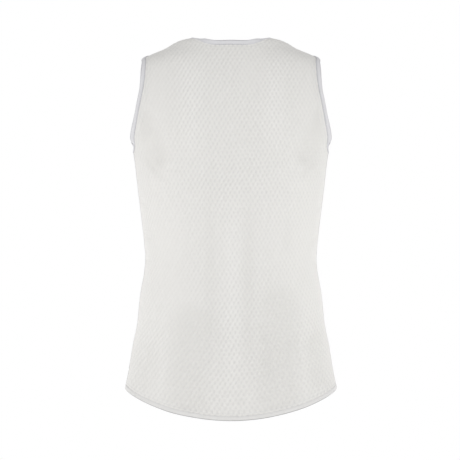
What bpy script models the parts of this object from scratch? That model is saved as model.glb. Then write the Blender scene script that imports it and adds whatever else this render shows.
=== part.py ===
"""A sleeveless mesh base layer, filled out as if worn, with nobody inside.

Metres, +Z up. The back faces -Y and the front faces +Y. The origin is level with the tops of
the shoulders and midway between them, where a wearer's shoulders hold the garment up.

The cloth follows a plain hollow form: a stack of rings from the neck down to the hem. Each
panel is a grid of spots on that form, between the seams and the cut edges, given a wall. The
bindings start 0.3 mm from the cut edges and carry the same surface on.
"""

import math
from typing import NamedTuple

import bmesh
import bpy
from mathutils import Vector

# Cloth, seams and edges.
PANEL_WALL = 0.0016
BINDING_WALL = 0.0026
BINDING_RISE = 0.0005
BINDING_WIDTH = 0.0062
UNDERARM_FLARE = math.radians(32.0)
FLARE_HEIGHT = -0.1585
FLARE_REACH = 0.0280
HEM_WIDTH = 0.0056
SEAM_GAP = 0.0003
SIDE_SEAM_SETBACK = 0.012

# Neck: half its width at the shoulder seam, how low its cut edge lies in the middle of each
# panel, and how square its outline is from above.
NECK_HALF_WIDTH = 0.0655
BACK_NECK_HEIGHT = -0.0155
FRONT_NECK_HEIGHT = -0.0960
BACK_NECK_SQUARENESS = 2.9
FRONT_NECK_SQUARENESS = 3.3

# Hem: the cut edge's height at the middle of each panel, and how far it climbs to the sides.
BACK_HEM_HEIGHT = -0.6134
BACK_HEM_CLIMB = 0.0418
FRONT_HEM_HEIGHT = -0.5970
FRONT_HEM_CLIMB = 0.0254

# Grid steps on half a panel: across the neck, along the shoulder seam, up the side, up the armhole.
NECK_STEPS = 13
SHOULDER_STEPS = 7
SIDE_STEPS = 18
ARMHOLE_STEPS = 14

# The level where a panel's middle passes the underarm's row, and how fast the top's bend fades.
CHEST_HEIGHT = -0.2050
TOP_FADE = 3.0

CLOTH_COLOUR = (0.78, 0.78, 0.76, 1.0)
CLOTH_ROUGHNESS = 0.90
BINDING_COLOUR = (0.74, 0.74, 0.77, 1.0)
BINDING_ROUGHNESS = 0.75

# Used in working out the shape: the step for slopes, how often a span is halved, and the angle
# past which an edge shades sharp.
SMALL_STEP = 1.0e-4
HALVINGS = 50
SHARP_ANGLE = math.radians(50.0)

# Places that the strips' widths point to, from their cut edges.
ARMHOLE_OUTSIDE = 0.25
FAR_BELOW = -10.0


# A strip's outer face, across its width: the share of the width, and of the rise.
STRIP_PROFILE = ((0.0, 1.0), (0.45, 1.0), (1.0, 0.4))


class Ring(NamedTuple):
    """One level ring of the form; squareness 2 is an ellipse, and more is a squarer ring."""

    height: float
    half_width: float
    back_depth: float
    front_depth: float
    squareness: float


class Notch(NamedTuple):
    """One place on the armhole's cut edge: its height, and its distance behind or before the tip."""

    height: float
    back_reach: float
    front_reach: float


class Fold(NamedTuple):
    """A soft fold: where it lies round the form, where it fades out, its deepest level, its size."""

    degrees: float
    fade_height: float
    full_height: float
    rise: float
    breadth: float


# The form's rings, from the neck to below the hem.
RINGS = (
    Ring(-0.0022, 0.0580, 0.0520, 0.0460, 2.00),
    Ring(-0.0031, 0.0745, 0.0540, 0.0490, 2.05),
    Ring(-0.0070, 0.0885, 0.0570, 0.0520, 2.10),
    Ring(-0.0187, 0.1090, 0.0625, 0.0580, 2.15),
    Ring(-0.0288, 0.1330, 0.0675, 0.0640, 2.20),
    Ring(-0.0380, 0.1515, 0.0720, 0.0695, 2.25),
    Ring(-0.0490, 0.1628, 0.0770, 0.0760, 2.30),
    Ring(-0.0630, 0.1695, 0.0825, 0.0830, 2.30),
    Ring(-0.0860, 0.1745, 0.0895, 0.0920, 2.30),
    Ring(-0.1120, 0.1766, 0.0950, 0.0990, 2.30),
    Ring(-0.1380, 0.1748, 0.0985, 0.1040, 2.30),
    Ring(-0.1640, 0.1708, 0.1005, 0.1075, 2.30),
    Ring(-0.1830, 0.1622, 0.1015, 0.1095, 2.30),
    Ring(-0.2010, 0.1588, 0.1015, 0.1100, 2.30),
    Ring(-0.2540, 0.1526, 0.0990, 0.1080, 2.30),
    Ring(-0.3070, 0.1460, 0.0950, 0.1035, 2.30),
    Ring(-0.3450, 0.1420, 0.0930, 0.1005, 2.30),
    Ring(-0.3620, 0.1407, 0.0930, 0.0995, 2.30),
    Ring(-0.3800, 0.1420, 0.0940, 0.0995, 2.30),
    Ring(-0.4260, 0.1496, 0.0990, 0.1010, 2.30),
    Ring(-0.4700, 0.1540, 0.1050, 0.1035, 2.30),
    Ring(-0.5050, 0.1611, 0.1100, 0.1060, 2.30),
    Ring(-0.5450, 0.1677, 0.1145, 0.1085, 2.30),
    Ring(-0.5810, 0.1743, 0.1175, 0.1100, 2.30),
    Ring(-0.6280, 0.1790, 0.1200, 0.1110, 2.30),
)

# Soft folds, mostly rising from the hem; a minus degree is on the left side.
FOLDS = (
    Fold(-29.0, -0.4600, -0.6400, -0.0022, 0.034),
    Fold(37.0, -0.4200, -0.6400, -0.0030, 0.044),
    Fold(4.0, -0.4900, -0.6400, 0.0012, 0.030),
    Fold(-104.0, -0.4300, -0.6200, 0.0016, 0.036),
    Fold(136.0, -0.4500, -0.6200, -0.0026, 0.040),
    Fold(-152.0, -0.4200, -0.6200, -0.0030, 0.046),
    Fold(172.0, -0.5000, -0.6200, 0.0014, 0.032),
)

# The armhole's cut edge, from the underarm up to the end of the shoulder seam.
ARMHOLE = (
    Notch(-0.1890, 0.0120, -0.0120),
    Notch(-0.1845, 0.0290, 0.0140),
    Notch(-0.1700, 0.0430, 0.0400),
    Notch(-0.1455, 0.0530, 0.0580),
    Notch(-0.1150, 0.0585, 0.0650),
    Notch(-0.0870, 0.0580, 0.0640),
    Notch(-0.0620, 0.0520, 0.0560),
    Notch(-0.0440, 0.0410, 0.0420),
    Notch(-0.0342, 0.0220, 0.0220),
    Notch(-0.0305, 0.0000, 0.0000),
)


class Spot(NamedTuple):
    """A place on the cloth's outer face, and the direction that faces out of the garment there."""

    place: Vector
    outward: Vector


def hermite(value_a, value_b, slope_a, slope_b, span, fraction):
    """The cubic between two values with given slopes, at a fraction of the span between them."""
    square = fraction * fraction
    cube = square * fraction
    from_a = (2.0 * cube - 3.0 * square + 1.0) * value_a
    from_b = (3.0 * square - 2.0 * cube) * value_b
    lean_a = (cube - 2.0 * square + fraction) * span * slope_a
    lean_b = (cube - square) * span * slope_b
    return from_a + from_b + lean_a + lean_b


def level_slope(rows, index, column):
    """The slope of one column at a row; it is flat at a high or low point, so nothing overshoots."""
    if index == 0 or index == len(rows) - 1:
        near = 1 if index == 0 else index - 1
        return (rows[index][column] - rows[near][column]) / (rows[index][0] - rows[near][0])
    before = (rows[index][column] - rows[index - 1][column]) / (rows[index][0] - rows[index - 1][0])
    after = (rows[index + 1][column] - rows[index][column]) / (rows[index + 1][0] - rows[index][0])
    if before * after <= 0.0:
        return 0.0
    return 2.0 * before * after / (before + after)


def ring_at(height):
    """The form's ring at a height, on smooth curves through RINGS."""
    lower = 1
    while lower < len(RINGS) - 1 and RINGS[lower].height > height:
        lower += 1
    upper = lower - 1
    span = RINGS[lower].height - RINGS[upper].height
    fraction = (height - RINGS[upper].height) / span
    columns = [height]
    for column in range(1, len(RINGS[0])):
        slope_a = level_slope(RINGS, upper, column)
        slope_b = level_slope(RINGS, lower, column)
        value_a = RINGS[upper][column]
        value_b = RINGS[lower][column]
        columns.append(hermite(value_a, value_b, slope_a, slope_b, span, fraction))
    return Ring(*columns)


def fold_rise(angle, height, radius):
    """How far the folds lift the cloth off the form, or sink it, at a place."""
    rise = 0.0
    for fold in FOLDS:
        depth = (fold.fade_height - height) / (fold.fade_height - fold.full_height)
        turn = math.remainder(angle - math.radians(fold.degrees), 2.0 * math.pi)
        offset = abs(turn) * radius / fold.breadth
        if depth > 0.0 and offset < 1.0:
            share = min(depth, 1.0)
            rise += fold.rise * share * share * (3.0 - 2.0 * share) * (0.5 + 0.5 * math.cos(math.pi * offset))
    return rise


def form_point(angle, height):
    """A point of the form: angle 0 is the middle of the back, and pi the middle of the front."""
    ring = ring_at(height)
    depth = ring.back_depth if math.cos(angle) > 0.0 else ring.front_depth
    power = ring.squareness
    across = abs(math.sin(angle) / ring.half_width) ** power
    along = abs(math.cos(angle) / depth) ** power
    radius = (across + along) ** (-1.0 / power)
    radius += fold_rise(angle, height, radius)
    return Vector((radius * math.sin(angle), -radius * math.cos(angle), height))


def angle_at_y(y, height):
    """The angle at which the form's right side lies at y."""
    ring = ring_at(height)
    depth = ring.back_depth if y < 0.0 else ring.front_depth
    power = ring.squareness
    x = ring.half_width * (1.0 - min(abs(y) / depth, 1.0) ** power) ** (1.0 / power)
    return math.atan2(x, -y)


def height_at(x, y):
    """The height at which the form's top passes over a place in the plan, found by halving."""
    low, high = RINGS[-1].height, RINGS[0].height
    for _ in range(HALVINGS):
        middle = (low + high) / 2.0
        ring = ring_at(middle)
        depth = ring.back_depth if y < 0.0 else ring.front_depth
        if (abs(x) / ring.half_width) ** ring.squareness + (abs(y) / depth) ** ring.squareness > 1.0:
            high = middle
        else:
            low = middle
    return (low + high) / 2.0


def form_spot(angle, height):
    """The form's point at an angle and height, with the outward direction there."""
    around = form_point(angle + SMALL_STEP, height) - form_point(angle - SMALL_STEP, height)
    upward = form_point(angle, height + SMALL_STEP) - form_point(angle, height - SMALL_STEP)
    return Spot(form_point(angle, height), around.cross(upward).normalized())


def evenly(route, steps):
    """Places at even distances along a route of (angle, height) pairs, both ends included."""
    lengths = [0.0]
    for start, stop in zip(route, route[1:]):
        lengths.append(lengths[-1] + (form_point(*stop) - form_point(*start)).length)
    places = []
    part = 0
    for step in range(steps + 1):
        wanted = lengths[-1] * step / steps
        while part < len(route) - 2 and lengths[part + 1] < wanted:
            part += 1
        share = (wanted - lengths[part]) / (lengths[part + 1] - lengths[part])
        start, stop = route[part], route[part + 1]
        places.append(tuple(a + (b - a) * share for a, b in zip(start, stop)))
    return places


def neck_route(front, samples=160):
    """The neck's cut edge, from the middle of a panel to the shoulder seam: an oval from above."""
    ring = ring_at(FRONT_NECK_HEIGHT if front else BACK_NECK_HEIGHT)
    depth = ring.front_depth if front else -ring.back_depth
    power = 2.0 / (FRONT_NECK_SQUARENESS if front else BACK_NECK_SQUARENESS)
    route = []
    for sample in range(samples + 1):
        turn = math.pi / 2.0 * sample / samples
        x = NECK_HALF_WIDTH * math.sin(turn) ** power
        y = seam_y(front, depth * max(math.cos(turn), 0.0) ** power)
        route.append((math.atan2(x, -y), height_at(x, y)))
    return route


def seam_y(front, y):
    """A seam's y, moved half the seam gap into the panel."""
    return y + SEAM_GAP / 2.0 if front else y - SEAM_GAP / 2.0


def shoulder_route(front, samples=60):
    """The shoulder seam, from the neck to the armhole, half the seam gap inside the panel."""
    start = height_at(NECK_HALF_WIDTH, seam_y(front, 0.0))
    stop = ARMHOLE[-1].height
    route = []
    for sample in range(samples + 1):
        height = start + (stop - start) * sample / samples
        route.append((angle_at_y(seam_y(front, 0.0), height), height))
    return route


def armhole_route(front, samples=12):
    """The armhole's cut edge, from the underarm to the shoulder, on a curve through ARMHOLE."""
    column = 2 if front else 1
    sign = 1.0 if front else -1.0
    knots = [Vector((sign * notch[column], notch.height)) for notch in ARMHOLE]
    tangents = []
    for index in range(len(knots)):
        before = knots[max(index - 1, 0)]
        after = knots[min(index + 1, len(knots) - 1)]
        tangents.append((after - before) / 2.0)
    tangents[0] = Vector((sign * abs(tangents[0].x) * 2.0, 0.0))
    tangents[-1] = Vector((-sign * abs(tangents[-1].x) * 2.0, 0.0))
    route = []
    for index in range(len(knots) - 1):
        for sample in range(samples):
            share = sample / samples
            pair = [
                hermite(knots[index][axis], knots[index + 1][axis],
                        tangents[index][axis], tangents[index + 1][axis], 1.0, share)
                for axis in range(2)
            ]
            route.append((angle_at_y(seam_y(front, pair[0]), pair[1]), pair[1]))
    route.append((angle_at_y(seam_y(front, knots[-1].x), knots[-1].y), knots[-1].y))
    return route


def side_route(front, samples=60):
    """The side seam, from the hem's cut edge up to the underarm."""
    start = hem_height(math.pi / 2.0, front)
    stop = ARMHOLE[0].height
    route = []
    for sample in range(samples + 1):
        height = start + (stop - start) * sample / samples
        route.append((angle_at_y(seam_y(front, -SIDE_SEAM_SETBACK), height), height))
    return route


def hem_height(angle, front):
    """The hem's cut edge: lowest in the middle of a panel, highest at the side."""
    reach = form_point(angle, RINGS[-1].height).x / RINGS[-1].half_width
    if front and math.cos(angle) < 0.0:
        return FRONT_HEM_HEIGHT + FRONT_HEM_CLIMB * reach ** 2
    return BACK_HEM_HEIGHT + BACK_HEM_CLIMB * reach ** 2


def hem_route(front, samples=120):
    """The hem's cut edge, from the middle of a panel to the side seam."""
    start = math.pi if front else 0.0
    stop = side_route(front)[0][0]
    route = []
    for sample in range(samples + 1):
        angle = start + (stop - start) * sample / samples
        route.append((angle, hem_height(angle, front)))
    return route


def middle_route(front, start, stop):
    """The middle of a panel, between two heights."""
    angle = math.pi if front else 0.0
    return [(angle, start), (angle, stop)]


def blended_row(ends, shape, weight):
    """A row of (angle, height) pairs between two ends; weight 1 bends it as the shape is bent."""
    steps = len(shape) - 1
    row = []
    for step in range(steps + 1):
        share = step / steps
        pair = []
        for axis in range(2):
            straight = (1.0 - share) * ends[0][axis] + share * ends[1][axis]
            bend = shape[step][axis] - (1.0 - share) * shape[0][axis] - share * shape[-1][axis]
            pair.append(straight + weight * bend)
        row.append(tuple(pair))
    return row


def half_panel(front):
    """Half a panel's grid of (angle, height) pairs: each row runs from the middle to the edge.

    The lowest row is bent as the hem is, and the bend fades up to the chest. The highest row is
    bent as the neck and shoulder seam are, and the bend fades quickly down to the chest.
    """
    hem = evenly(hem_route(front), NECK_STEPS + SHOULDER_STEPS)
    top = evenly(neck_route(front), NECK_STEPS) + evenly(shoulder_route(front), SHOULDER_STEPS)[1:]
    edge = evenly(side_route(front), SIDE_STEPS) + evenly(armhole_route(front), ARMHOLE_STEPS)[1:]
    middle = evenly(middle_route(front, hem[0][1], CHEST_HEIGHT), SIDE_STEPS)
    middle += evenly(middle_route(front, CHEST_HEIGHT, top[0][1]), ARMHOLE_STEPS)[1:]
    grid = []
    for row in range(SIDE_STEPS + ARMHOLE_STEPS + 1):
        ends = (middle[row], edge[row])
        if row <= SIDE_STEPS:
            grid.append(blended_row(ends, hem, 1.0 - row / SIDE_STEPS))
        else:
            grid.append(blended_row(ends, top, ((row - SIDE_STEPS) / ARMHOLE_STEPS) ** TOP_FADE))
    return grid


def panel_spots(front):
    """A whole panel's grid of spots, from its left edge to its right edge in each row."""
    rows = []
    for line in half_panel(front):
        right = [form_spot(angle, height) for angle, height in line]
        left = [form_spot(-angle, height) for angle, height in reversed(line[1:])]
        rows.append(left + right)
    return rows


def material(name, colour, roughness):
    """A plain cloth material."""
    made = bpy.data.materials.new(name)
    made.use_nodes = True
    shader = made.node_tree.nodes["Principled BSDF"]
    shader.inputs["Base Color"].default_value = colour
    shader.inputs["Roughness"].default_value = roughness
    shader.inputs["Metallic"].default_value = 0.0
    return made


def cloth_wall(name, rows, wall, closed, finish, collection):
    """A cloth wall as one closed solid: the rows of spots are its outer face.

    closed joins each row's last spot to its first, for a piece that goes all round.
    """
    shell = bmesh.new()
    outer = [[shell.verts.new(spot.place) for spot in row] for row in rows]
    inner = [[shell.verts.new(spot.place - spot.outward * wall) for spot in row] for row in rows]
    count = len(rows[0])
    steps = count if closed else count - 1
    for row in range(len(rows) - 1):
        for step in range(steps):
            after = (step + 1) % count
            for face in (outer, inner):
                shell.faces.new((face[row][step], face[row][after],
                                 face[row + 1][after], face[row + 1][step]))
    for row in (0, len(rows) - 1):
        for step in range(steps):
            after = (step + 1) % count
            shell.faces.new((outer[row][step], outer[row][after], inner[row][after], inner[row][step]))
    if not closed:
        for row in range(len(rows) - 1):
            for end in (0, count - 1):
                shell.faces.new((outer[row][end], outer[row + 1][end],
                                 inner[row + 1][end], inner[row][end]))
    bmesh.ops.recalc_face_normals(shell, faces=shell.faces)
    mesh = bpy.data.meshes.new(name)
    shell.to_mesh(mesh)
    shell.free()
    mesh.shade_smooth()
    mesh.set_sharp_from_angle(angle=SHARP_ANGLE)
    mesh.materials.append(finish)
    piece = bpy.data.objects.new(name, mesh)
    collection.objects.link(piece)
    return piece


def no_flare(height):
    """A binding that carries the cloth straight on."""
    return 0.0


def underarm_flare(height):
    """How far an armhole's binding leans out of the garment: most just above the underarm."""
    offset = abs(height - FLARE_HEIGHT) / FLARE_REACH
    if offset >= 1.0:
        return 0.0
    return UNDERARM_FLARE * (0.5 + 0.5 * math.cos(math.pi * offset))


def binding_rows(edge, hole, width, flare):
    """Rows of spots that carry the cloth on past a closed cut edge, towards the hole's middle."""
    count = len(edge)
    outline = []
    for index, spot in enumerate(edge):
        along = edge[(index + 1) % count].place - edge[index - 1].place
        across = along.cross(spot.outward).normalized()
        if across.dot(hole - spot.place) < 0.0:
            across = -across
        lean = flare(spot.place.z)
        outline.append(across * math.cos(lean) + spot.outward * math.sin(lean))
    rows = []
    for share, rise in STRIP_PROFILE:
        row = []
        for spot, across in zip(edge, outline):
            moved = across * (SEAM_GAP + width * share) + spot.outward * (BINDING_RISE * rise)
            row.append(Spot(spot.place + moved, spot.outward))
        rows.append(row)
    return rows


def joined_edge(back, front):
    """A closed edge from a back and a front stretch; their shared ends become one spot each."""
    def between(first, second):
        return Spot((first.place + second.place) / 2.0, (first.outward + second.outward).normalized())

    return [between(back[0], front[0])] + back[1:-1] + [between(back[-1], front[-1])] + front[-2:0:-1]


def main():
    """Build the garment's pieces."""
    for thing in list(bpy.data.objects):
        bpy.data.objects.remove(thing, do_unlink=True)
    garment = bpy.data.collections.new("base_layer")
    bpy.context.scene.collection.children.link(garment)
    cloth = material("diamond_mesh", CLOTH_COLOUR, CLOTH_ROUGHNESS)
    strip = material("binding_strip", BINDING_COLOUR, BINDING_ROUGHNESS)

    back = panel_spots(front=False)
    front = panel_spots(front=True)
    cloth_wall("back_panel", back, PANEL_WALL, False, cloth, garment)
    cloth_wall("front_panel", front, PANEL_WALL, False, cloth, garment)

    last = len(back[0]) - 1
    neck_columns = slice(SHOULDER_STEPS, last - SHOULDER_STEPS + 1)
    neck = joined_edge(back[-1][neck_columns], front[-1][neck_columns])
    neck_middle = Vector((0.0, 0.0, BACK_NECK_HEIGHT))
    neck_strip = binding_rows(neck, neck_middle, BINDING_WIDTH, no_flare)
    cloth_wall("neck_binding", neck_strip, BINDING_WALL, True, strip, garment)

    armhole_level = (ARMHOLE[0].height + ARMHOLE[-1].height) / 2.0
    for name, column, side in (("armhole_binding_left", 0, -1.0), ("armhole_binding_right", last, 1.0)):
        back_edge = [row[column] for row in back[SIDE_STEPS:]]
        front_edge = [row[column] for row in front[SIDE_STEPS:]]
        armhole = joined_edge(back_edge, front_edge)
        middle = Vector((side * ARMHOLE_OUTSIDE, 0.0, armhole_level))
        armhole_strip = binding_rows(armhole, middle, BINDING_WIDTH, underarm_flare)
        cloth_wall(name, armhole_strip, BINDING_WALL, True, strip, garment)

    hem = joined_edge(back[0], front[0])
    below_hem = Vector((0.0, 0.0, FAR_BELOW))
    hem_strip = binding_rows(hem, below_hem, HEM_WIDTH, no_flare)
    cloth_wall("hem_binding", hem_strip, BINDING_WALL, True, strip, garment)


main()
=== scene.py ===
"""The looks of a sleeveless mesh base layer, filled out as if worn, with nobody inside.

Metres, +Z up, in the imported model's frame: the back faces -Y, and the origin is level with the
tops of the shoulders. Each panel is a thin shell with the staggered diamond mesh knitted into
its outer face. Folded strips bind the neck, the armholes and the hem, and flat seams with a
zigzag thread join the panels.
"""

import logging
import math
from dataclasses import dataclass, field
from enum import Enum
from typing import Callable, NamedTuple

import bpy
import numpy as np
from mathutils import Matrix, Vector
from mathutils.bvhtree import BVHTree
from mathutils.geometry import delaunay_2d_cdt
from mathutils.kdtree import KDTree


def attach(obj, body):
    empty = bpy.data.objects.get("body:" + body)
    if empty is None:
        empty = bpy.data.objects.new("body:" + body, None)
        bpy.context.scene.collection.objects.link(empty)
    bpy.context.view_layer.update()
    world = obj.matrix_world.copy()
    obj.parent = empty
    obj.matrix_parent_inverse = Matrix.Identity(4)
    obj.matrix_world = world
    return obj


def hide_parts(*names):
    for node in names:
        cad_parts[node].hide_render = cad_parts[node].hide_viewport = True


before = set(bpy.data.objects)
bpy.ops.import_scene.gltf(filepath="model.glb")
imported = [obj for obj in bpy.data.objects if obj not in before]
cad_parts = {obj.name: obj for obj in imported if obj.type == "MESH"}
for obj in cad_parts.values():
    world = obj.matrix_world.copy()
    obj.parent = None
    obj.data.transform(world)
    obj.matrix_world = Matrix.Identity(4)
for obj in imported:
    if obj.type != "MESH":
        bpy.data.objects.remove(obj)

LOG = logging.getLogger("base_layer")
Array = np.ndarray
Colour = tuple[float, float, float, float]
Material, Object = bpy.types.Material, bpy.types.Object
Node, NodeTree, Socket = bpy.types.Node, bpy.types.NodeTree, bpy.types.NodeSocket
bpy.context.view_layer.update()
BODY = "root"

# The frame of the photograph, in pixels, and the garment's metres to a pixel at its side seams.
PICTURE_SIDE = 460
METRES_PER_PIXEL = 0.00165

# Cut edges, seams and strips, as the solids have them.
SEAM_GAP = 0.0003
SIDE_SEAM_SETBACK = 0.012
NECK_HALF_WIDTH = 0.0655
BACK_NECK_HEIGHT = -0.0155
FRONT_NECK_HEIGHT = -0.0960
BACK_NECK_SQUARENESS = 2.9
FRONT_NECK_SQUARENESS = 3.3
BACK_HEM_HEIGHT = -0.6134
BACK_HEM_CLIMB = 0.0418
FRONT_HEM_HEIGHT = -0.5970
FRONT_HEM_CLIMB = 0.0254
CHEST_HEIGHT = -0.2050
TOP_FADE = 3.0
BINDING_WIDTH = 0.0062
HEM_WIDTH = 0.0056

# How the armhole's binding leans: out at the shoulder and above the underarm, and in at its lowest.
UNDERARM_FLARE = math.radians(35.0)
FLARE_HEIGHT = -0.1685
FLARE_REACH_UP = 0.0460
FLARE_REACH_DOWN = 0.0150
TUCK = math.radians(24.0)
TUCK_STARTS = -0.1745
TUCK_REACH = 0.0100
SHOULDER_FLARE = math.radians(24.0)
SHOULDER_FLARE_HEIGHT = -0.0600
SHOULDER_FLARE_REACH = 0.0300

# How the neck's binding leans: out at the middle of the back, and in at the shoulders.
BACK_LEAN = math.radians(20.0)
SHOULDER_LEAN = math.radians(-48.0)
SHOULDER_TOP = -0.0026
LEAN_STARTS = -0.0450

# Where a strip's painted shade lines fade: over the shoulders, beside the back's middle, below the underarm.
SHOULDER_FAINT = -0.0180
SHOULDER_FADE = 0.0120
NECK_DARK_HALF = 0.0340
NECK_DARK_FADE = 0.0160
FAINTEST = 0.2
SEAM_FADES = -0.2420

# Steps on half a panel's measuring grid: along the neck, the shoulder, the side and the armhole;
# and how many marks stand for each step of a panel's outline.
NECK_STEPS = 78
SHOULDER_STEPS = 42
SIDE_STEPS = 108
ARMHOLE_STEPS = 84
OUTLINE_MARKS = 4

# A small step for slopes, how often a span is halved or a place corrected, how closely points
# merge, how a mesh of triangles is told to stay within its outline, and a table's last cell.
SMALL_STEP = 1.0e-4
HALVINGS = 46
CORRECTIONS = 8
MERGE_WITHIN = 1.0e-7
WITHIN_OUTLINE = 1
LAST_CELL = 1.000001

# How fast a crease tapers past its ends, and how far a point must lie to be past any edge.
CREASE_TAPER = 2.4
FAR = 10.0

# Above this level the cloth is measured along the body's length and not round it.
UPPER_LEVEL = -0.1000
UPPER_REACH = 0.1530
LOWEST_LEVEL = -0.6400
WIDEST_LEVEL = -0.1200
WIDEST_TURN = math.radians(112.0)


class Ring(NamedTuple):
    """One level ring of the form; squareness 2 is an ellipse, and more is a squarer ring."""

    height: float
    half_width: float
    back_depth: float
    front_depth: float
    squareness: float


class Fold(NamedTuple):
    """A soft fold: where it lies round the form, where it fades out, its deepest level, its size."""

    degrees: float
    fade_height: float
    full_height: float
    rise: float
    breadth: float


class Notch(NamedTuple):
    """One place on the armhole's cut edge: its height, and its distance behind or before the tip."""

    height: float
    back_reach: float
    front_reach: float


class Crease(NamedTuple):
    """A soft trough or ridge between two places on a panel, measured across it and up it."""

    across_from: float
    up_from: float
    across_to: float
    up_to: float
    breadth: float
    rise: float


class Patch(NamedTuple):
    """A place on a panel where the knit stands deeper, or flatter where its gain is below 0."""

    across: float
    up: float
    half_width: float
    half_length: float
    gain: float


class SectionPoint(NamedTuple):
    """One point of a strip's cross-section: past the cut edge, and out from the cloth's face."""

    past: float
    out: float


RINGS = (
    Ring(-0.0022, 0.0580, 0.0520, 0.0460, 2.00),
    Ring(-0.0031, 0.0745, 0.0540, 0.0490, 2.05),
    Ring(-0.0070, 0.0885, 0.0570, 0.0520, 2.10),
    Ring(-0.0187, 0.1090, 0.0625, 0.0580, 2.15),
    Ring(-0.0288, 0.1330, 0.0675, 0.0640, 2.20),
    Ring(-0.0380, 0.1515, 0.0720, 0.0695, 2.25),
    Ring(-0.0490, 0.1628, 0.0770, 0.0760, 2.30),
    Ring(-0.0630, 0.1695, 0.0825, 0.0830, 2.30),
    Ring(-0.0860, 0.1745, 0.0895, 0.0920, 2.30),
    Ring(-0.1120, 0.1766, 0.0950, 0.0990, 2.30),
    Ring(-0.1380, 0.1748, 0.0985, 0.1040, 2.30),
    Ring(-0.1640, 0.1708, 0.1005, 0.1075, 2.30),
    Ring(-0.1830, 0.1622, 0.1015, 0.1095, 2.30),
    Ring(-0.2010, 0.1588, 0.1015, 0.1100, 2.30),
    Ring(-0.2540, 0.1526, 0.0990, 0.1080, 2.30),
    Ring(-0.3070, 0.1460, 0.0950, 0.1035, 2.30),
    Ring(-0.3450, 0.1420, 0.0930, 0.1005, 2.30),
    Ring(-0.3620, 0.1407, 0.0930, 0.0995, 2.30),
    Ring(-0.3800, 0.1420, 0.0940, 0.0995, 2.30),
    Ring(-0.4260, 0.1496, 0.0990, 0.1010, 2.30),
    Ring(-0.4700, 0.1540, 0.1050, 0.1035, 2.30),
    Ring(-0.5050, 0.1611, 0.1100, 0.1060, 2.30),
    Ring(-0.5450, 0.1677, 0.1145, 0.1085, 2.30),
    Ring(-0.5810, 0.1743, 0.1175, 0.1100, 2.30),
    Ring(-0.6280, 0.1790, 0.1200, 0.1110, 2.30),
)

FOLDS = (
    Fold(-29.0, -0.4600, -0.6400, -0.0022, 0.034),
    Fold(37.0, -0.4200, -0.6400, -0.0030, 0.044),
    Fold(4.0, -0.4900, -0.6400, 0.0012, 0.030),
    Fold(-104.0, -0.4300, -0.6200, 0.0016, 0.036),
    Fold(136.0, -0.4500, -0.6200, -0.0026, 0.040),
    Fold(-152.0, -0.4200, -0.6200, -0.0030, 0.046),
    Fold(172.0, -0.5000, -0.6200, 0.0014, 0.032),
)

ARMHOLE = (
    Notch(-0.1890, 0.0120, -0.0120),
    Notch(-0.1845, 0.0290, 0.0140),
    Notch(-0.1700, 0.0430, 0.0400),
    Notch(-0.1455, 0.0530, 0.0580),
    Notch(-0.1150, 0.0585, 0.0650),
    Notch(-0.0870, 0.0580, 0.0640),
    Notch(-0.0620, 0.0520, 0.0560),
    Notch(-0.0440, 0.0410, 0.0420),
    Notch(-0.0342, 0.0220, 0.0220),
    Notch(-0.0305, 0.0000, 0.0000),
)

# Creases of the back, as the photograph shows them: lengthwise swells beside the spine, and
# short drags at the underarms and the waist.
BACK_CREASES = (
    Crease(-0.067, -0.030, -0.060, -0.190, 0.030, 0.0013),
    Crease(0.073, -0.040, 0.066, -0.175, 0.028, 0.0012),
    Crease(0.003, -0.215, 0.001, -0.600, 0.019, 0.0013),
    Crease(-0.034, -0.200, -0.030, -0.560, 0.015, -0.0009),
    Crease(0.028, -0.205, 0.027, -0.600, 0.014, -0.0010),
    Crease(-0.158, -0.060, -0.164, -0.130, 0.026, -0.0018),
    Crease(0.158, -0.050, 0.165, -0.135, 0.028, -0.0019),
    Crease(-0.156, -0.140, -0.126, -0.200, 0.034, -0.0030),
    Crease(0.158, -0.138, 0.130, -0.196, 0.033, -0.0030),
    Crease(-0.162, -0.196, -0.105, -0.238, 0.011, -0.0011),
    Crease(0.164, -0.199, 0.112, -0.232, 0.010, -0.0010),
    Crease(-0.196, -0.262, -0.150, -0.281, 0.009, -0.0009),
    Crease(0.192, -0.275, 0.155, -0.288, 0.008, -0.0008),
    Crease(-0.194, -0.318, -0.140, -0.334, 0.010, -0.0011),
    Crease(0.190, -0.324, 0.138, -0.345, 0.011, -0.0011),
    Crease(-0.190, -0.372, -0.146, -0.366, 0.009, -0.0010),
    Crease(0.191, -0.383, 0.150, -0.374, 0.009, -0.0009),
    Crease(0.094, -0.300, 0.089, -0.352, 0.012, -0.0009),
    Crease(-0.062, -0.460, -0.072, -0.605, 0.050, -0.0030),
    Crease(0.080, -0.430, 0.076, -0.605, 0.050, -0.0036),
    Crease(-0.140, -0.520, -0.150, -0.560, 0.030, -0.0014),
    Crease(0.145, -0.500, 0.152, -0.560, 0.030, -0.0014),
)

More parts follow.
